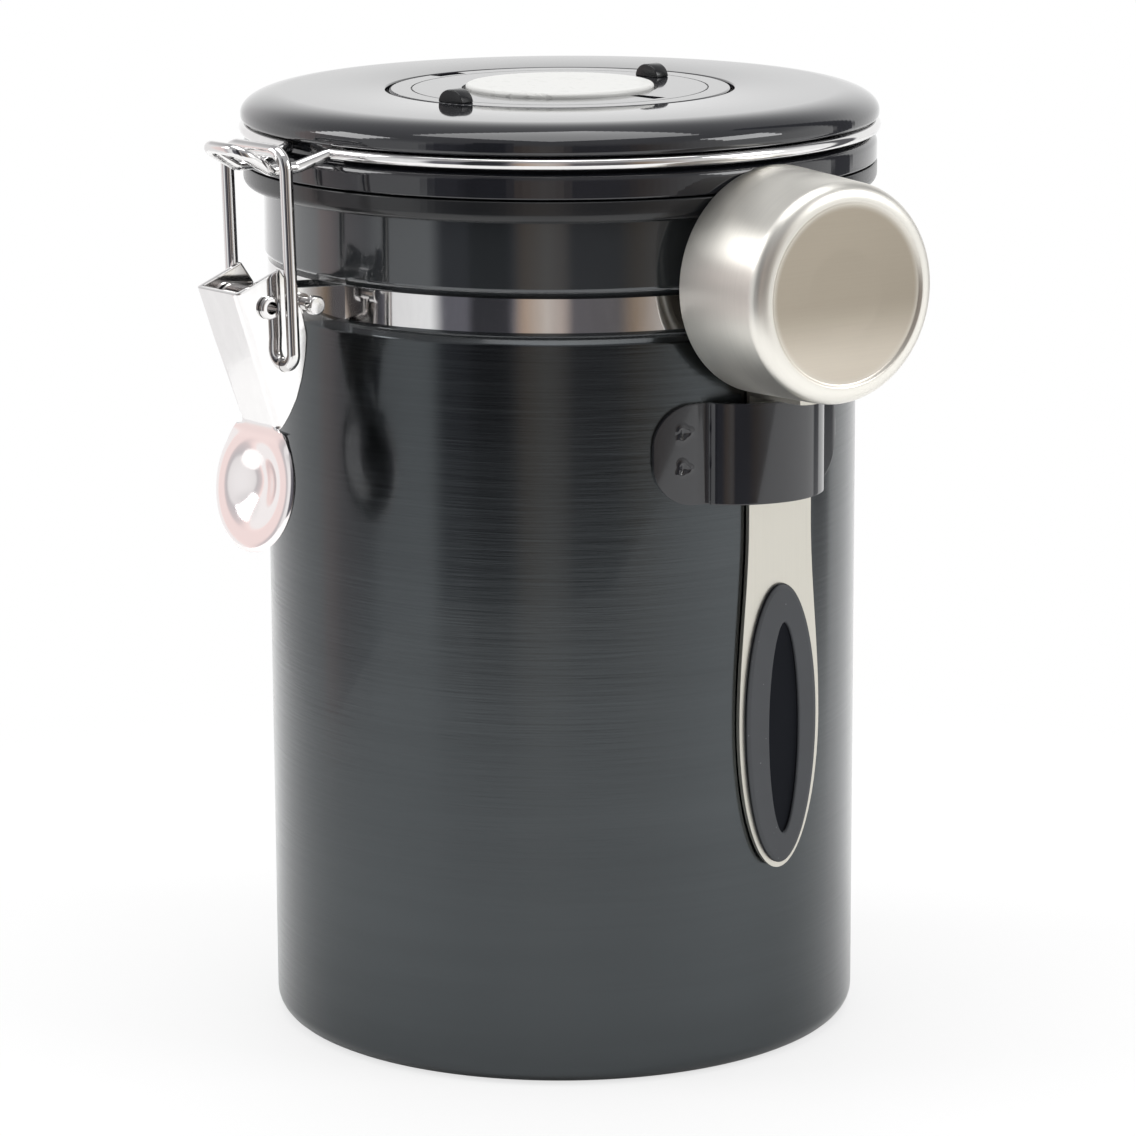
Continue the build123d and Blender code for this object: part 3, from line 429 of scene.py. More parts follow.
@dataclass(frozen=True)
class BrushedSteel(Finish):
    """Warm brushed stainless steel."""

    name: str = "brushed_steel"
    color: Triple = (0.84, 0.82, 0.76)
    roughness: float = 0.36
    grain: Grain = Grain.TURNED
    line_rough: float = 0.12
    cloud_rough: float = 0.06
    cloud_light: float = 1.04
    dark: float = 0.91
    light: float = 1.06
    anisotropic: float = 0.4
    # Painted shade: the bowl's end is coloured darker than its side, and painted light makes it lighter toward its
    # bottom.
    end_color: Triple = (0.385, 0.34, 0.275)
    end_low_color: Triple = (0.66, 0.60, 0.51)
    turn: float = math.radians(SCOOP_TURN)
    end_out: float = SCOOP_END * MM
    end_side: float = SCOOP_SIDE * MM
    end_height: float = SCOOP_HEIGHT * MM
    end_fade: Point = (0.004, 0.003)
    end_shade: Point = (-0.001, -0.014)
    disc_radius: float = 0.0186
    disc_fade: float = 0.0026
    round_scale: Triple = (2600.0, 30.0, 30.0)
    cross_scale: Triple = (60.0, 60.0, 3000.0)
    long_scale: Triple = (2600.0, 2600.0, 22.0)
    line_depth: float = 0.00001

    def surface(self, recipe: Recipe) -> Signal:
        """Lines round the bowl and straight across its end, or along the handle; the end has painted shade, lighter
        toward its bottom.
        """
        turned = recipe.mapped(recipe.place(), PLAIN, math.pi / 2 - self.turn)
        out, across, height = recipe.axes(turned)
        cloud = recipe.noise(turned, 45.0, 3.0)
        if self.grain is Grain.TURNED:
            round_lines = recipe.streaks(turned, self.round_scale, *FINE)
            cross_lines = recipe.streaks(turned, self.cross_scale, *FINE)
            side, rise = across - self.end_side, height - self.end_height
            on_end = out.between(self.end_out - self.end_fade[0], self.end_out - self.end_fade[1])
            on_end = on_end * ((side * side + rise * rise) ** 0.5).between(self.disc_radius,
                                                                           self.disc_radius - self.disc_fade)
            lines = round_lines * (1 - on_end) + cross_lines * on_end
            # Painted shade on the bowl's end, blending to painted light toward its bottom.
            end = recipe.mix(rise.between(*self.end_shade), self.end_color, self.end_low_color)
            ground = recipe.mix(on_end, self.color, end)
        else:
            lines = recipe.streaks(turned, self.long_scale, *FINE)
            ground = recipe.shades(cloud, self.color, 1.0, self.cloud_light)
        tone = recipe.shades(lines * 0.6 + cloud * 0.4, PLAIN, self.dark, self.light)
        tone = recipe.node("ShaderNodeVectorMath", {"operation": "MULTIPLY"}, ground, tone)
        rough = (lines - 0.5) * self.line_rough + (cloud - 0.5) * self.cloud_rough + self.roughness
        return self.principled(recipe, Base_Color=tone, Metallic=1.0, Roughness=rough, Anisotropic=self.anisotropic,
                               Normal=recipe.bump(lines, self.line_depth, 0.3))


@dataclass(frozen=True)
class SoftGrip(Finish):
    """Matt black soft-touch rubber."""

    name: str = "soft_grip"
    color: Triple = (0.036, 0.039, 0.044)
    roughness: float = 0.40
    # Painted shade for the groove in the pad.
    groove_color: Triple = (0.012, 0.013, 0.016)
    dust_color: Triple = (0.35, 0.35, 0.35)
    dust_scale: float = 1500.0
    dust_range: Point = (0.76, 0.8)
    dust_share: float = 0.35
    dark: float = 0.85
    light: float = 1.25
    cloud_rough: float = 0.12
    pore_scale: float = 3200.0
    pore_depth: float = 0.00001
    turn: float = math.radians(SCOOP_TURN)
    under_floor: Point = (0.06155, 0.06160)
    over_floor: Point = (0.06212, 0.06190)

    def surface(self, recipe: Recipe) -> Signal:
        """Fine pores, a few pale dust specks, and painted shade: a deeper black in the groove."""
        place = recipe.place()
        out = recipe.axes(recipe.mapped(place, PLAIN, math.pi / 2 - self.turn))[0]
        sunk = out.between(*self.over_floor) * out.between(*self.under_floor)
        cloud = recipe.noise(place, 120.0, 3.0)
        specks = recipe.noise(place, self.dust_scale, 1.0).between(*self.dust_range)
        tone = recipe.mix(specks * self.dust_share, recipe.shades(cloud, self.color, self.dark, self.light),
                          self.dust_color)
        # Painted shade: the groove is coloured a deeper black and made metallic so that it shows a dark reflection.
        return self.principled(recipe, Base_Color=recipe.mix(sunk, tone, self.groove_color), Metallic=sunk,
                               Roughness=cloud * self.cloud_rough + self.roughness,
                               Normal=recipe.bump(recipe.noise(place, self.pore_scale), self.pore_depth, 0.35))


@dataclass(frozen=True)
class Silicone(Finish):
    """Milky silicone rubber."""

    name: str = "silicone"
    color: Triple = (0.55, 0.55, 0.53)
    roughness: float = 0.38

    def surface(self, recipe: Recipe) -> Signal:
        """Soft sheen with a dusty bloom."""
        cloud = recipe.noise(recipe.place(), 180.0, 4.0)
        return self.principled(
            recipe, Base_Color=recipe.shades(cloud, self.color, 0.9, 1.06), Roughness=cloud * 0.15 + self.roughness,
            Subsurface_Weight=0.1, Subsurface_Scale=0.002, Normal=recipe.bump(cloud, 0.00002, 0.2))


@dataclass(frozen=True)
class FilterFelt(Finish):
    """Pressed white felt."""

    name: str = "filter_felt"
    color: Triple = (0.72, 0.71, 0.66)
    roughness: float = 0.85
    fibre_scale: Triple = (900.0, 3000.0, 900.0)

    def surface(self, recipe: Recipe) -> Signal:
        """Matted fibres."""
        fibres = recipe.streaks(recipe.place(), self.fibre_scale, 4.0, 0.7)
        return self.principled(recipe, Base_Color=recipe.shades(fibres, self.color, 0.8, 1.0),
                               Roughness=fibres * 0.1 + self.roughness, Normal=recipe.bump(fibres, 0.0001, 0.6))


@dataclass(frozen=True)
class DialInk(Finish):
    """Black ink of the printed numbers."""

    name: str = "dial_ink"
    color: Triple = (0.02, 0.02, 0.022)
    roughness: float = 0.4

    def surface(self, recipe: Recipe) -> Signal:
        """Slightly uneven print."""
        cloud = recipe.noise(recipe.place(), 900.0, 3.0)
        return self.principled(recipe, Base_Color=recipe.shades(cloud, self.color, 1.0, 2.2),
                               Roughness=cloud * 0.1 + self.roughness)


# Modelling by hand
def rounded(corners: Sequence[Triple], closed: bool, steps: int = 6) -> list[Point]:
    """Points along an outline whose corners are rounded.

    Args:
        corners: Corners as (along, up, radius).
        closed: Whether the outline closes.
        steps: How many straight runs stand for a full rounding.

    Returns:
        The points, in the units of the corners.
    """
    count = len(corners)
    points: list[Point] = []
    for index, (along, up, radius) in enumerate(corners):
        here = Vector((along, up))
        inner = closed or 0 < index < count - 1
        if radius <= 0 or not inner:
            points.append((along, up))
            continue
        before = (Vector(corners[index - 1][:2]) - here).normalized()
        after = (Vector(corners[(index + 1) % count][:2]) - here).normalized()
        half = before.angle(after) / 2
        middle = here + (before + after).normalized() * radius / math.sin(half)
        start = here + before * radius / math.tan(half) - middle
        end = here + after * radius / math.tan(half) - middle
        turn = start.angle_signed(end)
        for step in range(steps + 1):
            angle = -turn * step / steps
            spun = Vector((start.x * math.cos(angle) - start.y * math.sin(angle),
                           start.x * math.sin(angle) + start.y * math.cos(angle)))
            points.append(tuple(middle + spun))
    return points


def toward(azimuth: float, distance: float) -> Point:
    """The plan position at an azimuth counted from the latch toward +X, in degrees."""
    return distance * math.sin(math.radians(azimuth)), -distance * math.cos(math.radians(azimuth))


def bent_path(points: Sequence[Vector], radii: Sequence[float], steps: int = 8) -> list[Vector]:
    """A wire's centre line with each inner corner bent to a radius.

    Args:
        points: The corners.
        radii: A radius for each inner corner.
        steps: How many runs stand for one bend.

    Returns:
        The points of the line.
    """
    line = [points[0].copy()]
    for index in range(1, len(points) - 1):
        here, radius = points[index], radii[index - 1]
        before = (points[index - 1] - here).normalized()
        after = (points[index + 1] - here).normalized()
        half = before.angle(after) / 2
        trim = radius / math.tan(half)
        middle = here + (before + after).normalized() * radius / math.sin(half)
        start, end = here + before * trim - middle, here + after * trim - middle
        turn = start.angle(end)
        for step in range(steps + 1):
            share = step / steps
            first = math.sin((1 - share) * turn) / math.sin(turn)
            second = math.sin(share * turn) / math.sin(turn)
            line.append(middle + start * first + end * second)
    line.append(points[-1].copy())
    return line


def smooth_line(points: Sequence[Sequence[float]], steps: int) -> list[Vector]:
    """A smooth line through points.

    Args:
        points: The points.
        steps: How many runs stand between two points.

    Returns:
        The points of the line.
    """
    places = [Vector(point) for point in points]
    line = [places[0]]
    for index in range(len(places) - 1):
        first, second = places[index], places[index + 1]
        before = places[max(index - 1, 0)]
        after = places[min(index + 2, len(places) - 1)]
        for step in range(1, steps + 1):
            share = step / steps
            square, cube = share ** 2, share ** 3
            line.append((2 * first + (second - before) * share
                         + (2 * before - 5 * first + 4 * second - after) * square
                         + (3 * first - before - 3 * second + after) * cube) / 2)
    return line


class Course:
    """A line of points that is read by its length."""

    def __init__(self, points: Sequence[Sequence[float]]) -> None:
        """Keep the points and the length up to each."""
        self.points = [Vector(point) for point in points]
        self.lengths = [0.0]
        for before, after in zip(self.points, self.points[1:]):
            self.lengths.append(self.lengths[-1] + (after - before).length)

    @property
    def length(self) -> float:
        """The whole length."""
        return self.lengths[-1]

    def at(self, distance: float) -> Vector:
        """The point at a distance from the start."""
        distance = min(max(distance, 0.0), self.length)
        index = 1
        while index < len(self.lengths) - 1 and self.lengths[index] < distance:
            index += 1
        low, high = self.lengths[index - 1], self.lengths[index]
        return self.points[index - 1].lerp(self.points[index], (distance - low) / (high - low))


class Bench:
    """The operators that every piece is made with; all sizes are in millimetres."""

    @staticmethod
    def clear() -> None:
        """Leave edit mode and deselect everything."""
        if bpy.context.object and bpy.context.object.mode != "OBJECT":
            bpy.ops.object.mode_set(mode="OBJECT")
        bpy.ops.object.select_all(action="DESELECT")

    @staticmethod
    def only(piece: bpy.types.Object) -> None:
        """Select one piece and make it active."""
        Bench.clear()
        piece.select_set(True)
        bpy.context.view_layer.objects.active = piece

    @staticmethod
    def edit(piece: bpy.types.Object, work: Callable[[], object]) -> None:
        """Do some work in edit mode on all of a piece."""
        Bench.only(piece)
        bpy.ops.object.mode_set(mode="EDIT")
        bpy.ops.mesh.select_all(action="SELECT")
        work()
        bpy.ops.object.mode_set(mode="OBJECT")

    @staticmethod
    def outward(piece: bpy.types.Object) -> None:
        """Turn all faces of a piece outward."""
        Bench.edit(piece, lambda: bpy.ops.mesh.normals_make_consistent(inside=False))

    @staticmethod
    def merge(piece: bpy.types.Object, gap: float) -> bpy.types.Object:
        """Merge the points of a piece that are closer than a gap, turn its faces outward and return it."""
        Bench.edit(piece, lambda: bpy.ops.mesh.remove_doubles(threshold=gap * MM))
        Bench.outward(piece)
        return piece

    @staticmethod
    def apply(piece: bpy.types.Object, kind: str, **settings) -> None:
        """Add one modifier with its settings to a piece, and apply it."""
        modifier = piece.modifiers.new(kind.lower(), kind)
        for key, value in settings.items():
            setattr(modifier, key, value)
        Bench.only(piece)
        bpy.ops.object.modifier_apply(modifier=modifier.name)

    @staticmethod
    def lathe(name: str, outline: Sequence[Point], closed: bool = True, steps: int = 192) -> bpy.types.Object:
        """Extrude one vertex along an outline of (radius, height), and spin the edges about Z.

        Args:
            name: The piece's name.
            outline: The outline.
            closed: Whether the outline closes on itself.
            steps: How many steps the spin takes.

        Returns:
            The piece, in object mode.
        """
        points = [Vector((radius, 0.0, height)) * MM for radius, height in outline]
        Bench.clear()
        bpy.ops.mesh.primitive_plane_add(size=MM, location=(0.0, 0.0, 0.0))
        piece = bpy.context.object
        piece.name = name
        bpy.ops.object.mode_set(mode="EDIT")
        bpy.ops.mesh.merge(type="CENTER")
        bpy.ops.transform.translate(value=points[0])
        for before, after in zip(points, points[1:]):
            bpy.ops.mesh.extrude_region_move(TRANSFORM_OT_translate={"value": after - before})
        if closed:
            bpy.ops.mesh.select_all(action="SELECT")
            bpy.ops.object.mode_set(mode="OBJECT")
            for vertex in piece.data.vertices:
                vertex.select = vertex.index in (0, len(points) - 1)
            bpy.ops.object.mode_set(mode="EDIT")
            bpy.ops.mesh.edge_face_add()
        bpy.ops.mesh.select_all(action="SELECT")
        bpy.ops.mesh.spin(steps=steps, angle=2 * math.pi, center=(0.0, 0.0, 0.0), axis=(0.0, 0.0, 1.0))
        return Bench.merge(piece, 0.002)

    @staticmethod
    def wire(name: str, line: Sequence[Vector], radius: float) -> bpy.types.Object:
        """A round wire along a line, as a mesh.

        Args:
            name: The piece's name.
            line: The centre line.
            radius: The wire's radius.

        Returns:
            The piece, in object mode.
        """
        curve = bpy.data.curves.new(name, "CURVE")
        curve.dimensions = "3D"
        curve.bevel_depth = radius * MM
        curve.bevel_resolution = 6
        curve.use_fill_caps = True
        spline = curve.splines.new("POLY")
        spline.points.add(len(line) - 1)
        for target, point in zip(spline.points, line):
            target.co = (*(point * MM), 1.0)
        piece = bpy.data.objects.new(name, curve)
        bpy.context.scene.collection.objects.link(piece)
        Bench.only(piece)
        bpy.ops.object.convert(target="MESH")
        return Bench.merge(bpy.context.object, 0.001)

    @staticmethod
    def form(name: str, columns: int, rows: int, shape: Callable[[float, float], Vector]) -> bpy.types.Object:
        """A grid whose points are placed by a rule, with its seams and poles merged.

        Args:
            name: The piece's name.
            columns: Grid steps across.
            rows: Grid steps along.
            shape: Gives the place of a point at two shares from 0 to 1.

        Returns:
            The piece, in object mode.
        """
        Bench.clear()
        bpy.ops.mesh.primitive_grid_add(x_subdivisions=columns, y_subdivisions=rows, size=1.0)
        piece = bpy.context.object
        piece.name = name
        for vertex in piece.data.vertices:
            vertex.co = shape(vertex.co.x + 0.5, vertex.co.y + 0.5) * MM
        return Bench.merge(piece, 0.004)

    @staticmethod
    def sheet(name: str, columns: int, rows: int, shape: Callable[[float, float], Vector],
              thickness: float) -> bpy.types.Object:
        """A pressed sheet: the grid that form makes of the same values, given a thickness inward."""
        piece = Bench.form(name, columns, rows, shape)
        Bench.apply(piece, "SOLIDIFY", thickness=thickness * MM, offset=-1.0, use_even_offset=True)
        Bench.outward(piece)
        return piece

    @staticmethod
    def drill(piece: bpy.types.Object, place: Vector, radius: float, length: float) -> None:
        """Bore a hole along X through a piece, with its middle at a place."""
        Bench.clear()
        bpy.ops.mesh.primitive_cylinder_add(vertices=48, radius=radius * MM, depth=length * MM, location=place * MM,
                                            rotation=(0.0, math.pi / 2, 0.0))
        drill = bpy.context.object
        Bench.apply(piece, "BOOLEAN", operation="DIFFERENCE", solver="EXACT", object=drill)
        bpy.data.objects.remove(drill)

    @staticmethod
    def soften(piece: bpy.types.Object, edge: float, angle: float, segments: int = 2) -> None:
        """Round the edges of a piece that turn by more than an angle in degrees."""
        Bench.apply(piece, "BEVEL", width=edge * MM, segments=segments, limit_method="ANGLE",
                    angle_limit=math.radians(angle), use_clamp_overlap=True)

    @staticmethod
    def place(piece: bpy.types.Object, matrix: Matrix) -> None:
        """Move a piece's mesh, and leave its object at the origin."""
        piece.data.transform(matrix)
        piece.data.update()

    @staticmethod
    def done(piece: bpy.types.Object, finish: Finish, body: str, slot: str, *replaced: str,
             smooth: float = 35.0) -> None:
        """Shade, dress and seat a finished piece.

        Args:
            piece: The piece.
            finish: Its finish.
            body: The body that it rides on.
            slot: The record's material slot; not used.
            replaced: The nodes that it stands for.
            smooth: The angle up to which edges are shaded smooth, in degrees.
        """
        Bench.only(piece)
        bpy.ops.object.shade_smooth_by_angle(angle=math.radians(smooth))
        piece.data.materials.clear()
        piece.data.materials.append(finish.material())
        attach(piece, body)
        if replaced:
            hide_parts(*replaced)
        log.info("%s: %d faces on %s", piece.name, len(piece.data.polygons), body)


def dress(finish: Finish, *nodes: str) -> None:
    """Give carried-over nodes their finish."""
    for node in nodes:
        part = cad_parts[node]
        part.data.materials.clear()
        part.data.materials.append(finish.material())
        log.info("%s: kept, %s", node, finish.name)


@dataclass
class Shell:
    """The drawn steel shell, its rim collar and the neck band."""

    radius: float = 60.0
    wall: float = 0.8
    base_corner: float = 4.0
    bead_outer: float = 51.0
    bead_inner: float = 45.0
    bead_slope: float = 1.2
    bead_lift: float = 1.2
    bead_round: float = 0.5
    crease: float = 0.3
    groove_low: float = 148.5
    groove_high: float = 159.1
    groove_depth: float = 1.6
    lip: float = 1.0
    rim: float = 175.4
    collar_radius: float = 64.0
    collar_low: float = 172.4
    collar_high: float = 176.8
    collar_round: float = 1.9
    collar_edge: float = 0.4
    steps: int = 256

    def make(self) -> None:
        """Build and dress the shell."""
        self.body()
        self.collar()
        dress(Chrome(), "neck_band", "band_screw", "band_nut", "latch_pivot_rivet", "hinge_bracket", "hinge_rivets")

    def body(self) -> None:
        """Spin the shell from its outside and inside outlines."""
        outer, inner, wall, lip, crease = self.radius, self.radius - self.wall, self.wall, self.lip, self.crease
        seat, half = outer - self.groove_depth, wall / 2
        low, high, depth = self.groove_low, self.groove_high, self.groove_depth
        start, end, slope, lift = self.bead_inner, self.bead_outer, self.bead_slope, self.bead_lift
        outline = rounded([
            (0.0, 0.0, 0.0), (start, 0.0, self.bead_round), (start + slope, lift, self.bead_round),
            (end - slope, lift, self.bead_round), (end, 0.0, self.bead_round), (outer, 0.0, self.base_corner),
            (outer, low, lip), (seat, low + depth, lip), (seat, high - depth, crease), (outer, high, lip),
            (outer, self.rim, 0.0), (inner, self.rim, 0.0), (inner, high + wall, lip),
            (seat - wall, high - depth + wall, crease), (seat - wall, low + depth - wall, lip),
            (inner, low - wall, lip), (inner, wall, self.base_corner - wall), (end + half, wall, crease),
            (end - slope + half, lift + wall, crease), (start + slope - half, lift + wall, crease),
            (start - half, wall, crease), (0.0, wall, 0.0)], closed=False, steps=8)
        piece = Bench.lathe("shell_body", outline, closed=False, steps=self.steps)
        Bench.done(piece, BrushedLacquer(), "canister", "black_lacquer", "canister_body")

    def collar(self) -> None:
        """Spin the plastic ring that caps the rim."""
        outline = rounded([
            (self.radius, self.collar_low, 0.0), (self.collar_radius, self.collar_low, self.collar_round),
            (self.collar_radius, self.collar_high, self.collar_edge),
            (self.radius - self.wall, self.collar_high, self.collar_edge),
            (self.radius - self.wall, self.rim, 0.0), (self.radius, self.rim, 0.0)], closed=True)
        piece = Bench.lathe("collar_ring", outline, steps=self.steps)
        Bench.done(piece, SatinBlack(), "canister", "satin_black", "rim_collar")


@dataclass
class Lid:
    """The lid: cap, base, hoop, dials and valve."""

    cap_low: float = 185.3
    cap_high: float = 191.1
    cap_radius: float = 64.4
    cap_flat: float = 56.0
    cap_edge: float = 4.3
    edge_steps: int = 16
    cap_shell: float = 1.8
    lip_round: float = 1.0
    neck: float = 61.4
    neck_play: float = 0.2
    neck_wall: float = 2.8
    skirt_low: float = 177.1
    skirt_high: float = 182.0
    skirt_radius: float = 64.0
    skirt_round: float = 1.6
    skirt_edge: float = 0.4
    base_round: float = 0.5
    plate_low: float = 179.6
    plug_outer: float = 56.5
    plug_inner: float = 54.3
    plug_low: float = 168.5
    plug_round: float = 1.0
    gasket_low: float = 171.4
    gasket_high: float = 174.8
    gasket_groove: float = 0.9
    dial_radius: float = 35.2
    dial_round: float = 0.35
    dial_floor: float = 188.2
    floor_low: float = 186.8
    hub: float = 16.5
    seat: float = 12.0
    seat_edge: float = 0.3
    wire: float = 1.2
    hoop_radius: float = 63.5
    hoop_height: float = 183.9
    nose_angle: float = 6.0
    nose_half: float = 5.6
    nose_dip: float = 181.7
    nose_start: float = 71.0
    nose_end: float = 76.8
    nose_tip: float = 84.3
    nose_top: float = 186.1
    nose_lead: float = 1.5
    nose_bend: float = 3.2
    root_bend: float = 1.2
    hinge_out: float = 70.0
    hinge_height: float = 178.0
    arm_side: float = 12.5
    arm_bend: float = 2.4
    stub_inner: float = 7.0
    ring_steps: int = 90
    number_height: float = 188.82
    day_knob: Point = (10.0, 31.80)
    month_knob: Point = (184.0, 26.30)
    knob_radius: float = 3.1
    knob_thickness: float = 3.4
    knob_height: float = 2.6
    knob_edge: float = 0.6
    knob_turn: float = 50.0
    day_ring: float = 32.6
    month_ring: float = 24.5
    day_size: float = 2.4
    month_size: float = 3.6
    ink: float = 0.02
    steps: int = 256

    def make(self) -> None:
        """Build and dress the lid."""
        self.cap()
        self.base()
        self.hoop()
        self.numbers()
        dress(Silicone(), "lid_gasket", "valve_flap")
        dress(Chrome(), "lid_screws")
        dress(WhitePlastic(), "number_plate", "valve_body")
        dress(FilterFelt(), "valve_filter")
        dress(MarkedPlastic(), "valve_cap")
        dress(GlossBlack(), "day_ring", "month_ring")
        self.knob("day_tab", self.day_knob, "day_dial", "day_knob")
        self.knob("month_tab", self.month_knob, "month_dial", "month_knob")

    def knob(self, name: str, place: Point, body: str, node: str) -> None:
        """Mould one low half-round finger tab at an azimuth and a distance from the middle."""
        Bench.clear()
        bpy.ops.mesh.primitive_cylinder_add(vertices=72, radius=self.knob_radius * MM, depth=self.knob_thickness * MM,
                                            rotation=(math.pi / 2, 0.0, 0.0))
        piece = bpy.context.object
        piece.name = name
        bpy.ops.object.transform_apply(location=True, rotation=True, scale=True)
        Bench.edit(piece, lambda: (
            bpy.ops.mesh.bisect(plane_co=(0.0, 0.0, 0.0), plane_no=(0.0, 0.0, 1.0), use_fill=True, clear_inner=True),
            bpy.ops.mesh.select_all(action="SELECT"),
            bpy.ops.transform.resize(value=(1.0, 1.0, self.knob_height / self.knob_radius),
                                     center_override=(0.0, 0.0, 0.0))))
        Bench.soften(piece, self.knob_edge, self.knob_turn, 4)
        Bench.place(piece, Matrix.Translation(Vector((*toward(*place), self.cap_high)) * MM)
                    @ Matrix.Rotation(math.radians(place[0]), 4, "Z"))
        Bench.done(piece, SatinBlack(), body, "gloss_black", node, smooth=40.0)

    def cap(self) -> None:
        """Spin the glossy top shell with its rolled edge and dial recess."""
        under = self.cap_high - self.cap_shell
        wall_inner = self.neck + self.neck_play
        recess = self.dial_radius + self.cap_shell
        top, flat = self.cap_high, self.cap_flat
        lead = rounded([(self.dial_radius, self.dial_floor, 0.0), (self.dial_radius, top, self.dial_round),
                        (flat, top, 0.0)], closed=False)[:-1]
        turns = [math.pi / 2 * (1 - step / self.edge_steps) for step in range(self.edge_steps + 1)]
        edge = [(flat + (self.cap_radius - flat) * math.cos(turn),
                 top - self.cap_edge + self.cap_edge * math.sin(turn)) for turn in turns]
        tail = rounded([(self.cap_radius, top - self.cap_edge, 0.0), (self.cap_radius, self.cap_low, self.lip_round),
                        (wall_inner, self.cap_low, 0.0), (wall_inner, under - self.cap_shell, 0.0),
                        (flat, under, 0.0), (recess, under, 0.0), (recess, self.floor_low, 0.0),
                        (self.hub, self.floor_low, 0.0), (self.hub, self.dial_floor, 0.0)], closed=False)[1:]
        piece = Bench.lathe("cap_shell", lead + edge + tail, steps=self.steps)
        Bench.done(piece, GlossBlack(), "lid", "gloss_black", "lid_cap")

    def base(self) -> None:
        """Spin the skirt, the neck of the groove and the plug."""
        inner, shelf, soft = self.neck - self.neck_wall, self.cap_low + self.cap_shell, self.base_round
        groove, plug = self.plug_outer - self.gasket_groove, self.plug_outer
        outline = rounded([
            (self.seat, self.skirt_high, 0.0), (inner, self.skirt_high, 0.0), (inner, shelf, 0.0),
            (self.neck, shelf, 0.0), (self.neck, self.skirt_high, soft),
            (self.skirt_radius, self.skirt_high, self.skirt_round),
            (self.skirt_radius, self.skirt_low, self.skirt_edge),
            (plug, self.skirt_low, soft), (plug, self.gasket_high, 0.0), (groove, self.gasket_high, 0.0),
            (groove, self.gasket_low, 0.0), (plug, self.gasket_low, 0.0), (plug, self.plug_low, soft),
            (self.plug_inner, self.plug_low, soft), (self.plug_inner, self.plate_low, self.plug_round),
            (self.seat, self.plate_low, self.seat_edge)], closed=True)
        piece = Bench.lathe("base_plug", outline, steps=self.steps)
        Bench.done(piece, GlossBlack(), "lid", "gloss_black", "lid_base")

    def hoop(self) -> None:
        """Bend the hoop from one wire: stubs, arms, ring and nose."""
        rear = math.degrees(math.asin(self.arm_side / self.hoop_radius))
        front = self.nose_angle

        def ring(azimuth: float) -> Vector:
            """The point of the ring at an azimuth."""
            return Vector((*toward(azimuth, self.hoop_radius), self.hoop_height))

        halves = {}
        for side in (-1, 1):
            arm = bent_path([
                Vector((side * self.stub_inner, self.hinge_out, self.hinge_height)),
                Vector((side * self.arm_side, self.hinge_out, self.hinge_height)),
                Vector((side * self.arm_side, self.hinge_out, self.hoop_height)),
                Vector((side * self.arm_side, math.sqrt(self.hoop_radius ** 2 - self.arm_side ** 2),
                        self.hoop_height))], [self.arm_bend] * 2)
            bow = [ring(side * (180.0 - rear + (front - (180.0 - rear)) * step / self.ring_steps))
                   for step in range(1, self.ring_steps - 1)]
            nose = [Vector((side * self.nose_half, -out, height)) for out, height in
                    ((self.nose_start, self.nose_dip), (self.nose_end, self.nose_dip), (self.nose_tip, self.nose_top))]
            halves[side] = arm + bow, [ring(side * (front + self.nose_lead)), ring(side * front)] + nose
        nose = halves[-1][1] + halves[1][1][::-1]
        bends = [self.root_bend] + [self.nose_bend] * (len(nose) - 4) + [self.root_bend]
        piece = Bench.wire("hoop_wire", halves[-1][0] + bent_path(nose, bends) + halves[1][0][::-1], self.wire)
        Bench.done(piece, Chrome(), "lid", "chrome", "bail_hoop", smooth=60.0)

    def numbers(self) -> None:
        """Print the day numbers and the month numbers on the plate."""
        pieces = []
        for count, ring, size in ((31, self.day_ring, self.day_size), (12, self.month_ring, self.month_size)):
            for number in range(1, count + 1):
                azimuth = 360.0 * (number - 1) / count
                Bench.clear()
                bpy.ops.object.text_add(location=(0.0, 0.0, 0.0))
                text = bpy.context.object
                text.data.body = str(number)
                text.data.size = size * MM
                text.data.extrude = self.ink * MM
                text.data.align_x = text.data.align_y = "CENTER"
                text.data.resolution_u = 3
                bpy.ops.object.convert(target="MESH")
                text = bpy.context.object
                Bench.place(text, Matrix.Translation(Vector((*toward(azimuth, ring), self.number_height)) * MM)
                            @ Matrix.Rotation(math.radians(azimuth), 4, "Z"))
                pieces.append(text)
        Bench.only(pieces[0])
        for piece in pieces:
            piece.select_set(True)
        bpy.ops.object.join()
        piece = bpy.context.object
        piece.name = "dial_numbers"
        Bench.done(piece, DialInk(), "lid", "white_plastic")


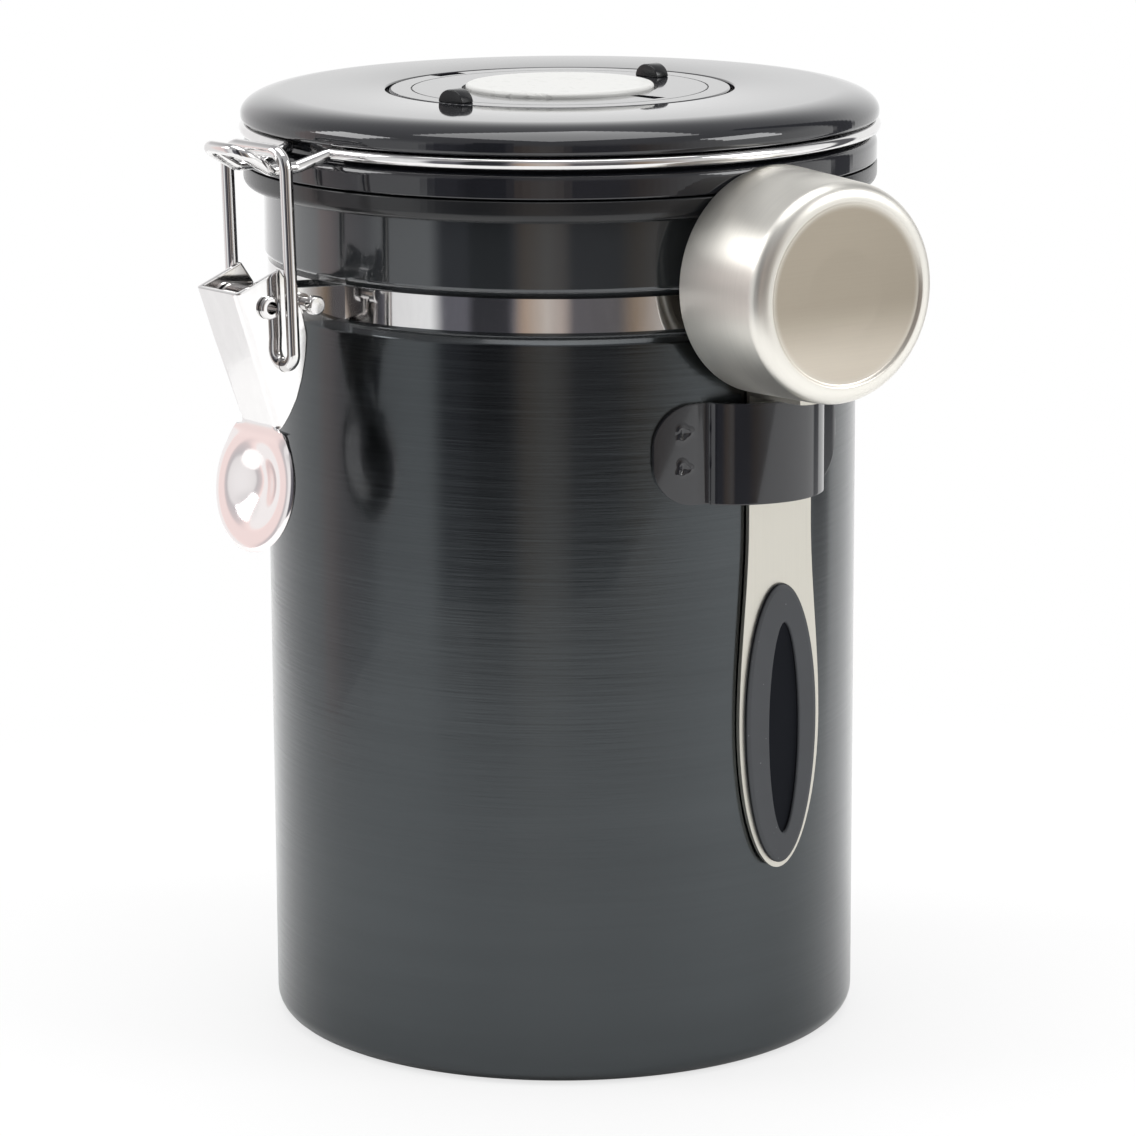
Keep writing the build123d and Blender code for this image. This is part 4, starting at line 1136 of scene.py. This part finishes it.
@dataclass
class Latch:
    """The lever and the wire link."""

    half_width: float = 6.7
    sheet: float = 1.0
    front_top: Point = (86.3, 158.7)
    foot: Point = (76.5, 131.0)
    hook: Point = (75.0, 144.0)
    hook_inner: float = 4.3
    bar: Point = (76.2, 185.4)
    link_side: float = 9.5
    link_wire: float = 1.3
    link_bends: tuple[float, ...] = (2.6, 4.0, 4.0, 2.6)
    pivot: Point = (78.8, 155.6)
    pivot_bore: float = 1.8
    hook_bore: float = 1.35
    fold: float = 1.3
    foot_half: float = 5.9
    neck_inset: float = 1.4
    neck_bend: float = 3.0
    neck_drop: float = 2.6
    foot_bend: float = 4.0
    flange_slope: float = 1.4
    flange_least: float = 0.3
    rear: tuple[Point, ...] = (
        (76.4, 131.0), (75.2, 131.9), (73.6, 134.0), (71.9, 137.0), (70.7, 140.6), (69.8, 145.0), (69.5, 149.2),
        (70.6, 154.0), (73.3, 158.8), (76.0, 162.6))
    rear_round: float = 2.5
    tab_middle: Point = (79.5, 119.6)
    tab_lean: float = 5.0
    tab_half: float = 12.6
    tab_half_height: float = 12.9
    tab_edge: float = 0.86
    tab_edge_drop: float = 0.7
    neck_start: float = 0.25
    neck_full: float = 0.95
    dish_half: float = 9.0
    dish_rise: float = 0.3
    dish_depth: float = 2.7
    dish_power: float = 0.8
    fade_gap: float = 1.0
    fade_reach: float = 3.0
    widening: float = 1.6
    cut_edge: float = 0.22
    cut_turn: float = 55.0

    def make(self) -> None:
        """Build and dress the latch."""
        self.link()
        self.lever()

    def lever(self) -> None:
        """Press the lever from one sheet: channel, neck and dished thumb tab."""
        lean = math.tan(math.radians(self.tab_lean))
        out, height = self.tab_middle
        bottom = (out + self.tab_half_height * lean, height - self.tab_half_height)
        neck_height = self.foot[1] - self.neck_drop
        neck = (out - (neck_height - height) * lean - self.neck_inset, neck_height)
        front = Course(rounded([(*bottom, 0.0), (*neck, self.neck_bend), (*self.foot, self.foot_bend),
                                (*self.front_top, 0.0)], False, 10))
        rear = Course(rounded([(*place, self.rear_round) for place in self.rear], False, 6))
        channel = (Vector(self.front_top) - Vector(self.foot)).length
        tab_length = front.length - channel

        def shape(across: float, along: float) -> Vector:
            """Place one point of the sheet."""
            distance = along * front.length
            here = front.at(distance)
            up_channel = max(0.0, (distance - tab_length) / channel)
            back = rear.at(up_channel * rear.length) - here
            depth = min(back.length, self.flange_slope * max(0.0, distance - tab_length))
            depth = depth if depth > self.flange_least else 0.0
            half = self.half_at(here.y, up_channel)
            fold = min(self.fold, depth)
            flat, arc = half - fold, math.pi / 2 * fold
            reach = abs(across - 0.5) * 2 * (flat + arc + depth - fold)
            if reach <= flat:
                side, sunk = reach, 0.0
            elif reach <= flat + arc:
                angle = (reach - flat) / fold
                side, sunk = flat + fold * math.sin(angle), fold * (1 - math.cos(angle))
            else:
                side, sunk = half, fold + reach - flat - arc
            point = here + (back.normalized() * sunk if depth > 0 else Vector((0.0, 0.0)))
            side = math.copysign(side, across - 0.5)
            return Vector((side, -(point.x - self.press(side, point.y)), point.y))

        piece = Bench.sheet("lever_sheet", 96, 132, shape, self.sheet)
        for place, bore in ((self.pivot, self.pivot_bore), (self.hook, self.hook_bore)):
            Bench.drill(piece, Vector((0.0, -place[0], place[1])), bore, 4 * self.half_width)
        Bench.soften(piece, self.cut_edge, self.cut_turn)
        Bench.done(piece, TabChrome(), "lever", "chrome", "latch_lever")

    def half_at(self, height: float, up_channel: float) -> float:
        """Half the width of the sheet's front at a height."""
        if up_channel > 0:
            return self.foot_half + (self.half_width - self.foot_half) * min(1.0, up_channel * self.widening)
        rise = (height - self.tab_middle[1]) / self.tab_half_height
        tab = self.tab_half * math.sqrt(max(0.0, 1 - rise ** 2))
        share = min(1.0, max(0.0, (rise - self.neck_start) / (self.neck_full - self.neck_start)))
        neck = self.foot_half * share ** 2 * (3 - 2 * share)
        return (tab ** 3 + neck ** 3) ** (1 / 3)

    def press(self, side: float, height: float) -> float:
        """How far the tab is pressed in at a place: a dish, with a rim that rolls back."""
        rise = height - self.tab_middle[1]
        dish = math.hypot(side, rise - self.dish_rise) / self.dish_half
        rim = math.hypot(side / self.tab_half, rise / self.tab_half_height)
        fade = min(1.0, max(0.0, (self.foot[1] - self.fade_gap - height) / self.fade_reach))
        sunk = self.dish_depth * (0.5 + 0.5 * math.cos(math.pi * min(1.0, dish))) ** self.dish_power
        return sunk + fade * self.tab_edge_drop * max(0.0, (rim - self.tab_edge) / (1 - self.tab_edge)) ** 2

    def link(self) -> None:
        """Bend the link from one wire."""
        corners = [(-self.hook_inner, self.hook), (-self.link_side, self.hook), (-self.link_side, self.bar),
                   (self.link_side, self.bar), (self.link_side, self.hook), (self.hook_inner, self.hook)]
        points = [Vector((side, -place[0], place[1])) for side, place in corners]
        piece = Bench.wire("link_wire", bent_path(points, self.link_bends, 12), self.link_wire)
        Bench.done(piece, Chrome(), "link", "chrome", "latch_link", smooth=60.0)


@dataclass
class Scoop:
    """The measuring scoop and its clip."""

    azimuth: float = SCOOP_TURN
    side: float = SCOOP_SIDE
    height: float = SCOOP_HEIGHT
    rim_out: float = 64.6
    rim: float = 22.2
    rim_round: float = 0.35
    end: float = 21.2
    depth: float = 24.0
    wall: float = 0.8
    corner: float = 3.4
    disc: float = 17.2
    ring_run: float = 0.6
    end_sink: float = 0.45
    end_dish: float = 0.6
    dish_share: float = 0.8
    dish_bend: float = 20.0
    step_low: float = 0.7
    step_high: float = 0.5
    handle_color: Triple = (0.60, 0.58, 0.52)
    shell: float = 60.0
    clip_sheet: float = 1.0
    clip_low: float = 116.4
    clip_high: float = 136.3
    loop: tuple[Point, ...] = (
        (59.75, -13.4), (60.9, -13.05), (62.1, -12.4), (64.4, -10.2), (66.5, -6.8), (68.0, -2.9), (68.75, 1.2),
        (68.45, 5.2), (67.2, 9.0), (65.1, 12.4), (62.6, 14.6), (60.6, 15.2), (58.95, 16.3))
    ear_angle: float = 23.2
    left_ear: int = 9
    right_ear: int = 6
    ear_round: float = 8.6
    weld_angle: float = -17.2
    weld_heights: Point = (123.6, 130.6)
    weld_lobes: float = 0.22
    weld_depth: float = 0.42
    weld_radius: float = 0.62
    weld_rim: float = 0.20
    weld_rim_radius: float = 1.15
    weld_rim_width: float = 0.35
    cut_edge: float = 0.18
    cut_turn: float = 55.0
    grip_side: float = 10.2
    grip_half: float = 8.6
    grip_low: float = 41.7
    grip_middle: float = 71.0
    grip_high: float = 98.6
    groove_low: float = 47.5
    groove_high: float = 91.0
    groove_half: float = 3.75
    groove_side: float = 0.5
    groove_depth: float = 0.75
    groove_point: float = 0.12
    pad_seat: float = 61.3
    pad_top: float = 62.4

    def place(self) -> Matrix:
        """The matrix from the scoop's own plane (side, up, out) to the part."""
        angle = math.radians(self.azimuth)
        return Matrix(((math.cos(angle), 0.0, math.sin(angle), 0.0),
                       (math.sin(angle), 0.0, -math.cos(angle), 0.0),
                       (0.0, 1.0, 0.0, 0.0), (0.0, 0.0, 0.0, 1.0)))

    def make(self) -> None:
        """Build and dress the scoop."""
        self.bowl()
        self.grip()
        self.clip()
        dress(BrushedSteel("handle_steel", self.handle_color, grain=Grain.LENGTHWISE), "scoop_handle")

    def grip(self) -> None:
        """Mould the pad: a crowned oval with a lens-shaped groove."""
        low, high = self.grip_low, self.grip_high
        middle, half = self.grip_middle, self.grip_half
        groove_middle = (self.groove_low + self.groove_high) / 2
        groove_reach = (self.groove_high - self.groove_low) / 2
        centre = Vector((0.0, groove_middle, 0.0))
        floor, top = self.pad_top - self.groove_depth, self.pad_top

        def outline(turn: float, inset: float) -> Vector:
            """A point of the oval, some way inside its edge."""
            reach = (high if math.sin(turn) > 0 else low) - middle
            return Vector(((half - inset) * math.cos(turn), middle + (abs(reach) - inset) * math.sin(turn), 0.0))

        def lens(turn: float, inset: float) -> Vector:
            """A point of the groove's edge, some way inside it."""
            width = (self.groove_half - inset) * math.cos(turn) * abs(math.cos(turn)) ** self.groove_point
            return Vector((self.groove_side + width, groove_middle + (groove_reach - 2 * inset) * math.sin(turn), 0.0))

        def shape(around: float, outward: float) -> Vector:
            """Place one point of the pad."""
            turn = around * 2 * math.pi
            stages = ((0.0, centre, floor), (0.20, lens(turn, 0.45), floor), (0.26, lens(turn, 0.28), floor + 0.10),
                      (0.36, lens(turn, 0.06), top - 0.10), (0.42, lens(turn, -0.12), top),
                      (0.70, outline(turn, 0.9), top - 0.06), (0.80, outline(turn, 0.32), top - 0.20),
                      (0.88, outline(turn, 0.06), top - 0.45), (0.93, outline(turn, 0.0), self.pad_seat),
                      (1.0, centre, self.pad_seat))
            for (start, first, low_out), (end, second, high_out) in zip(stages, stages[1:]):
                if outward <= end:
                    share = (outward - start) / (end - start)
                    point = first.lerp(second, share)
                    return Vector((self.grip_side + point.x, point.y, low_out + (high_out - low_out) * share))
            return Vector((self.grip_side, groove_middle, self.pad_seat))

        piece = Bench.form("grip_pad", 128, 100, shape)
        Bench.place(piece, self.place())
        Bench.outward(piece)
        Bench.done(piece, SoftGrip(), "scoop", "grip_rubber", "scoop_grip", smooth=60.0)

    def clip(self) -> None:
        """Bend the clip from one strip, with two weld dimples in its left ear."""
        ear = self.shell + self.clip_sheet
        plan = [self.polar(ear, -self.ear_angle + step) for step in range(self.left_ear + 1)]
        plan.extend(self.loop)
        plan.extend(self.polar(ear, self.ear_angle - self.right_ear + step) for step in range(self.right_ear + 1))
        course = Course(smooth_line(plan, 8))
        middle, rise = (self.clip_low + self.clip_high) / 2, (self.clip_high - self.clip_low) / 2

        def shape(across: float, up: float) -> Vector:
            """Place one point of the strip."""
            distance = across * course.length
            here = course.at(distance)
            end = min(distance, course.length - distance)
            reach = rise
            if end < self.ear_round:
                reach = rise - self.ear_round + math.sqrt(max(0.0, self.ear_round ** 2 - (self.ear_round - end) ** 2))
            height = middle + (up - 0.5) * 2 * reach
            outward = Vector(here[:2]).normalized() * self.weld(here, height)
            return Vector((here.x + outward.x, here.y + outward.y, height))

        piece = Bench.sheet("clip_strip", 220, 76, shape, self.clip_sheet)
        Bench.soften(piece, self.cut_edge, self.cut_turn)
        Bench.done(piece, GlossBlack(), "canister", "gloss_black", "scoop_clip", smooth=50.0)

    @staticmethod
    def polar(radius: float, angle: float) -> Point:
        """A plan position at an angle from +X, in degrees."""
        return radius * math.cos(math.radians(angle)), radius * math.sin(math.radians(angle))

    def weld(self, here: Vector, height: float) -> float:
        """The height of the weld marks above the strip at a place."""
        rise = 0.0
        across = math.radians(self.weld_angle) * self.shell - math.atan2(here.y, here.x) * self.shell
        for mark in self.weld_heights:
            turn = math.atan2(height - mark, across)
            away = math.hypot(across, height - mark) / (1 + self.weld_lobes * math.sin(3 * turn + mark))
            rise -= self.weld_depth * math.exp(-(away / self.weld_radius) ** 2)
            rise += self.weld_rim * math.exp(-((away - self.weld_rim_radius) / self.weld_rim_width) ** 2)
        return rise

    def bowl(self) -> None:
        """Spin the drawn bowl."""
        sunk, wall, ring = self.depth - self.end_sink, self.wall, self.disc + self.ring_run
        outer = [(0.0, sunk - self.end_dish, 0.0),
                 (self.disc / 2, sunk - self.dish_share * self.end_dish, self.dish_bend),
                 (self.disc, sunk, self.step_low), (ring, self.depth, self.step_high)]
        inner = [(radius, height - wall, edge) for radius, height, edge in outer[::-1]]
        outline = rounded([
            *outer, (self.end, self.depth, self.corner), (self.rim, 0.0, self.rim_round),
            (self.rim - wall, 0.0, self.rim_round), (self.end - wall, self.depth - wall, self.corner - wall),
            *inner], closed=False, steps=10)
        piece = Bench.lathe("bowl_shell", outline, closed=False)
        shift = Matrix.Translation(Vector((self.side, self.height, self.rim_out)) * MM)
        Bench.place(piece, self.place() @ shift)
        Bench.done(piece, BrushedSteel("bowl_steel"), "scoop", "scoop_steel", "scoop_bowl")


@dataclass
class Studio:
    """Floor, lights, world and camera."""

    eye: Triple = (0.7244, -0.6079, 0.3025)
    azimuth: float = 50.0
    pitch: float = 0.2193
    yaw: float = 0.0013
    roll: float = -0.0049
    focal: float = 4698.8
    image: float = 1136.0
    sensor: float = 36.0
    table: tuple[Point, ...] = (
        (-180.0, 1.1), (-130.0, 0.9), (-100.0, 0.42), (-75.0, 0.32), (-55.0, 0.29), (-40.0, 0.30), (-17.0, 0.42),
        (6.0, 0.47), (47.0, 0.47), (67.0, 0.50), (88.0, 0.68), (110.0, 0.9), (150.0, 1.1), (180.0, 1.1))
    fade_start: float = 0.13
    fade_end: float = 0.27
    floor_glow: float = 0.72
    flags: tuple = ((26.0, 0.263, 0.085, 0.40, (0.030, 0.031, 0.036)), (150.0, 0.15, 0.045, 0.40, (0.12, 0.12, 0.13)))
    flag_side: float = 0.28
    flag_foot: float = -0.15
    boxes: tuple = (("top_box", (0.0, 0.0, 1.3), 0.9, 6.0), ("left_box", (-0.75, -0.95, 0.9), 0.6, 5.0),
                    ("right_box", (1.0, 0.65, 0.8), 0.6, 5.0))
    aim: Triple = (0.0, 0.0, 0.1)
    ceiling_color: Triple = (0.42, 0.42, 0.43)
    ceiling_low: float = 0.25
    ceiling_high: float = 0.75
    fill_color: Triple = (0.75, 0.75, 0.75)
    stops: tuple[tuple[float, Triple], ...] = (
        (0.00, (1.0, 1.0, 1.0)), (0.18, (1.0, 1.0, 1.0)), (0.20, (0.93, 0.92, 0.925)), (0.338, (0.93, 0.925, 0.93)),
        (0.347, (0.97, 0.83, 0.81)), (0.362, (0.88, 0.75, 0.74)), (0.374, (0.66, 0.60, 0.61)),
        (0.417, (0.54, 0.53, 0.55)), (0.433, (0.80, 0.80, 0.81)), (0.496, (0.90, 0.91, 0.92)),
        (0.511, (0.12, 0.12, 0.14)), (0.588, (0.13, 0.13, 0.15)), (0.60, (0.42, 0.32, 0.25)),
        (0.625, (0.55, 0.50, 0.46)), (0.642, (0.42, 0.36, 0.33)), (0.652, (0.12, 0.115, 0.125)),
        (0.70, (0.115, 0.11, 0.115)), (0.72, (0.26, 0.20, 0.15)), (0.742, (0.40, 0.36, 0.33)),
        (0.77, (0.62, 0.61, 0.60)), (0.82, (1.0, 1.0, 1.0)), (1.00, (1.0, 1.0, 1.0)))

    def make(self) -> None:
        """Build the studio."""
        self.floor()
        self.flag_boards()
        self.lamps()
        self.world()
        self.camera()

    def floor(self) -> None:
        """A pale table top that keeps the shadow, nearest at the latch's side."""
        Bench.clear()
        steps = 96
        bpy.ops.mesh.primitive_circle_add(vertices=steps, radius=1.0, fill_type="NGON")
        floor = bpy.context.object
        floor.name = "floor"
        for index, vertex in enumerate(floor.data.vertices):
            azimuth = -180.0 + 360.0 * index / steps
            for (low, near), (high, far) in zip(self.table, self.table[1:]):
                if low <= azimuth <= high:
                    reach = near + (far - near) * (azimuth - low) / (high - low)
            vertex.co = (*toward(azimuth, reach), 0.0)
        Bench.outward(floor)
        material, recipe = Recipe.material("pale_floor")
        pale = Finish.principled(recipe, Base_Color=(0.92, 0.92, 0.92, 1.0), Roughness=0.6)
        glow = recipe.node("ShaderNodeEmission", {}, Color=(*PLAIN, 1.0), Strength=1.0)
        seen = recipe.node("ShaderNodeLightPath", {}, pick=0)
        x, y, _ = recipe.axes(recipe.place())
        far = ((x * x + y * y) ** 0.5).between(self.fade_start, self.fade_end)
        lit = seen * (far * (1.0 - self.floor_glow) + self.floor_glow)
        mixed = recipe.node("ShaderNodeMixShader", {}, lit, pale, glow)
        recipe.surface(mixed)
        floor.data.materials.append(material)

    def flag_boards(self) -> None:
        """Dark boards that only reflections see."""
        for index, (azimuth, distance, width, height, color) in enumerate(self.flags):
            Bench.clear()
            x, y = toward(azimuth, distance)
            bpy.ops.mesh.primitive_plane_add(size=1.0, location=(x, y, height / 2),
                                             rotation=(math.pi / 2, 0.0, math.radians(azimuth)))
            board = bpy.context.object
            board.name = f"flag_board_{index}"
            board.scale = (width, height, 1.0)
            material, recipe = Recipe.material(board.name)
            glow = recipe.node("ShaderNodeEmission", {}, Color=(*color, 1.0), Strength=1.0)
            side, rise, _ = recipe.axes(recipe.place())
            solid = side.maths("ABSOLUTE").between(0.5, self.flag_side) * rise.between(-0.5, self.flag_foot)
            clear = recipe.node("ShaderNodeBsdfTransparent")
            recipe.surface(recipe.node("ShaderNodeMixShader", {}, solid, clear, glow))
            board.data.materials.append(material)
            board.visible_camera = board.visible_diffuse = False
            board.visible_shadow = board.visible_transmission = False

    def lamps(self) -> None:
        """Soft boxes overhead and at both sides."""
        for name, place, size, power in self.boxes:
            Bench.clear()
            bpy.ops.object.light_add(type="AREA", location=place)
            lamp = bpy.context.object
            lamp.name = name
            lamp.data.shape = "RECTANGLE"
            lamp.data.size = lamp.data.size_y = size
            lamp.data.energy = power
            aim = Vector(self.aim) - Vector(place)
            lamp.rotation_euler = aim.to_track_quat("-Z", "Y").to_euler()

    def world(self) -> None:
        """White for the camera, a room for the reflections."""
        world = bpy.data.worlds.new("studio")
        bpy.context.scene.world = world
        world.use_nodes = True
        recipe = Recipe(world.node_tree)
        x, y, z = recipe.axes(recipe.node("ShaderNodeTexCoord", {}, pick=0))
        turn = x.maths("ARCTAN2", y * -1.0) / (2 * math.pi) + 0.5
        room = recipe.node("ShaderNodeValToRGB", {"stops": self.stops}, turn)
        room = recipe.mix(z.between(self.ceiling_low, self.ceiling_high), room, self.ceiling_color)
        paths = recipe.node("ShaderNodeLightPath", {}).socket.node.outputs
        seen = Signal(recipe, paths["Is Camera Ray"])
        shiny = Signal(recipe, paths["Is Glossy Ray"]).maths("MAXIMUM", Signal(recipe, paths["Is Transmission Ray"]))
        color = recipe.mix(shiny, self.fill_color, room)
        color = recipe.mix(seen, color, PLAIN)
        glow = recipe.node("ShaderNodeBackground", {}, Color=color, Strength=1.0)
        recipe.node("ShaderNodeOutputWorld", {}, Surface=glow)

    def camera(self) -> None:
        """The camera that the photograph was fitted with."""
        pitch, yaw, roll = self.pitch, self.yaw, self.roll
        forward = Vector((math.sin(yaw) * math.cos(pitch), math.cos(yaw) * math.cos(pitch), -math.sin(pitch)))
        right = Vector((math.cos(yaw), -math.sin(yaw), 0.0))
        up = right.cross(forward)
        across = right * math.cos(roll) + up * math.sin(roll)
        above = up * math.cos(roll) - right * math.sin(roll)
        turn = Matrix((across, above, -forward)).transposed().to_4x4()
        data = bpy.data.cameras.new("camera")
        data.lens = self.focal / self.image * self.sensor
        data.sensor_width = self.sensor
        data.sensor_fit = "HORIZONTAL"
        data.clip_start = 0.01
        camera = bpy.data.objects.new("camera", data)
        bpy.context.scene.collection.objects.link(camera)
        camera.matrix_world = Matrix.Translation(self.eye) @ Matrix.Rotation(math.radians(self.azimuth), 4, "Z") @ turn
        bpy.context.scene.camera = camera
        bpy.context.scene.view_settings.view_transform = "Standard"


def main() -> None:
    """Build the object and its studio."""
    logging.basicConfig(level=logging.INFO, format="%(name)s: %(message)s")
    Studio().make()
    Shell().make()
    Lid().make()
    Latch().make()
    Scoop().make()
    Bench.clear()


if __name__ == "__main__":
    main()
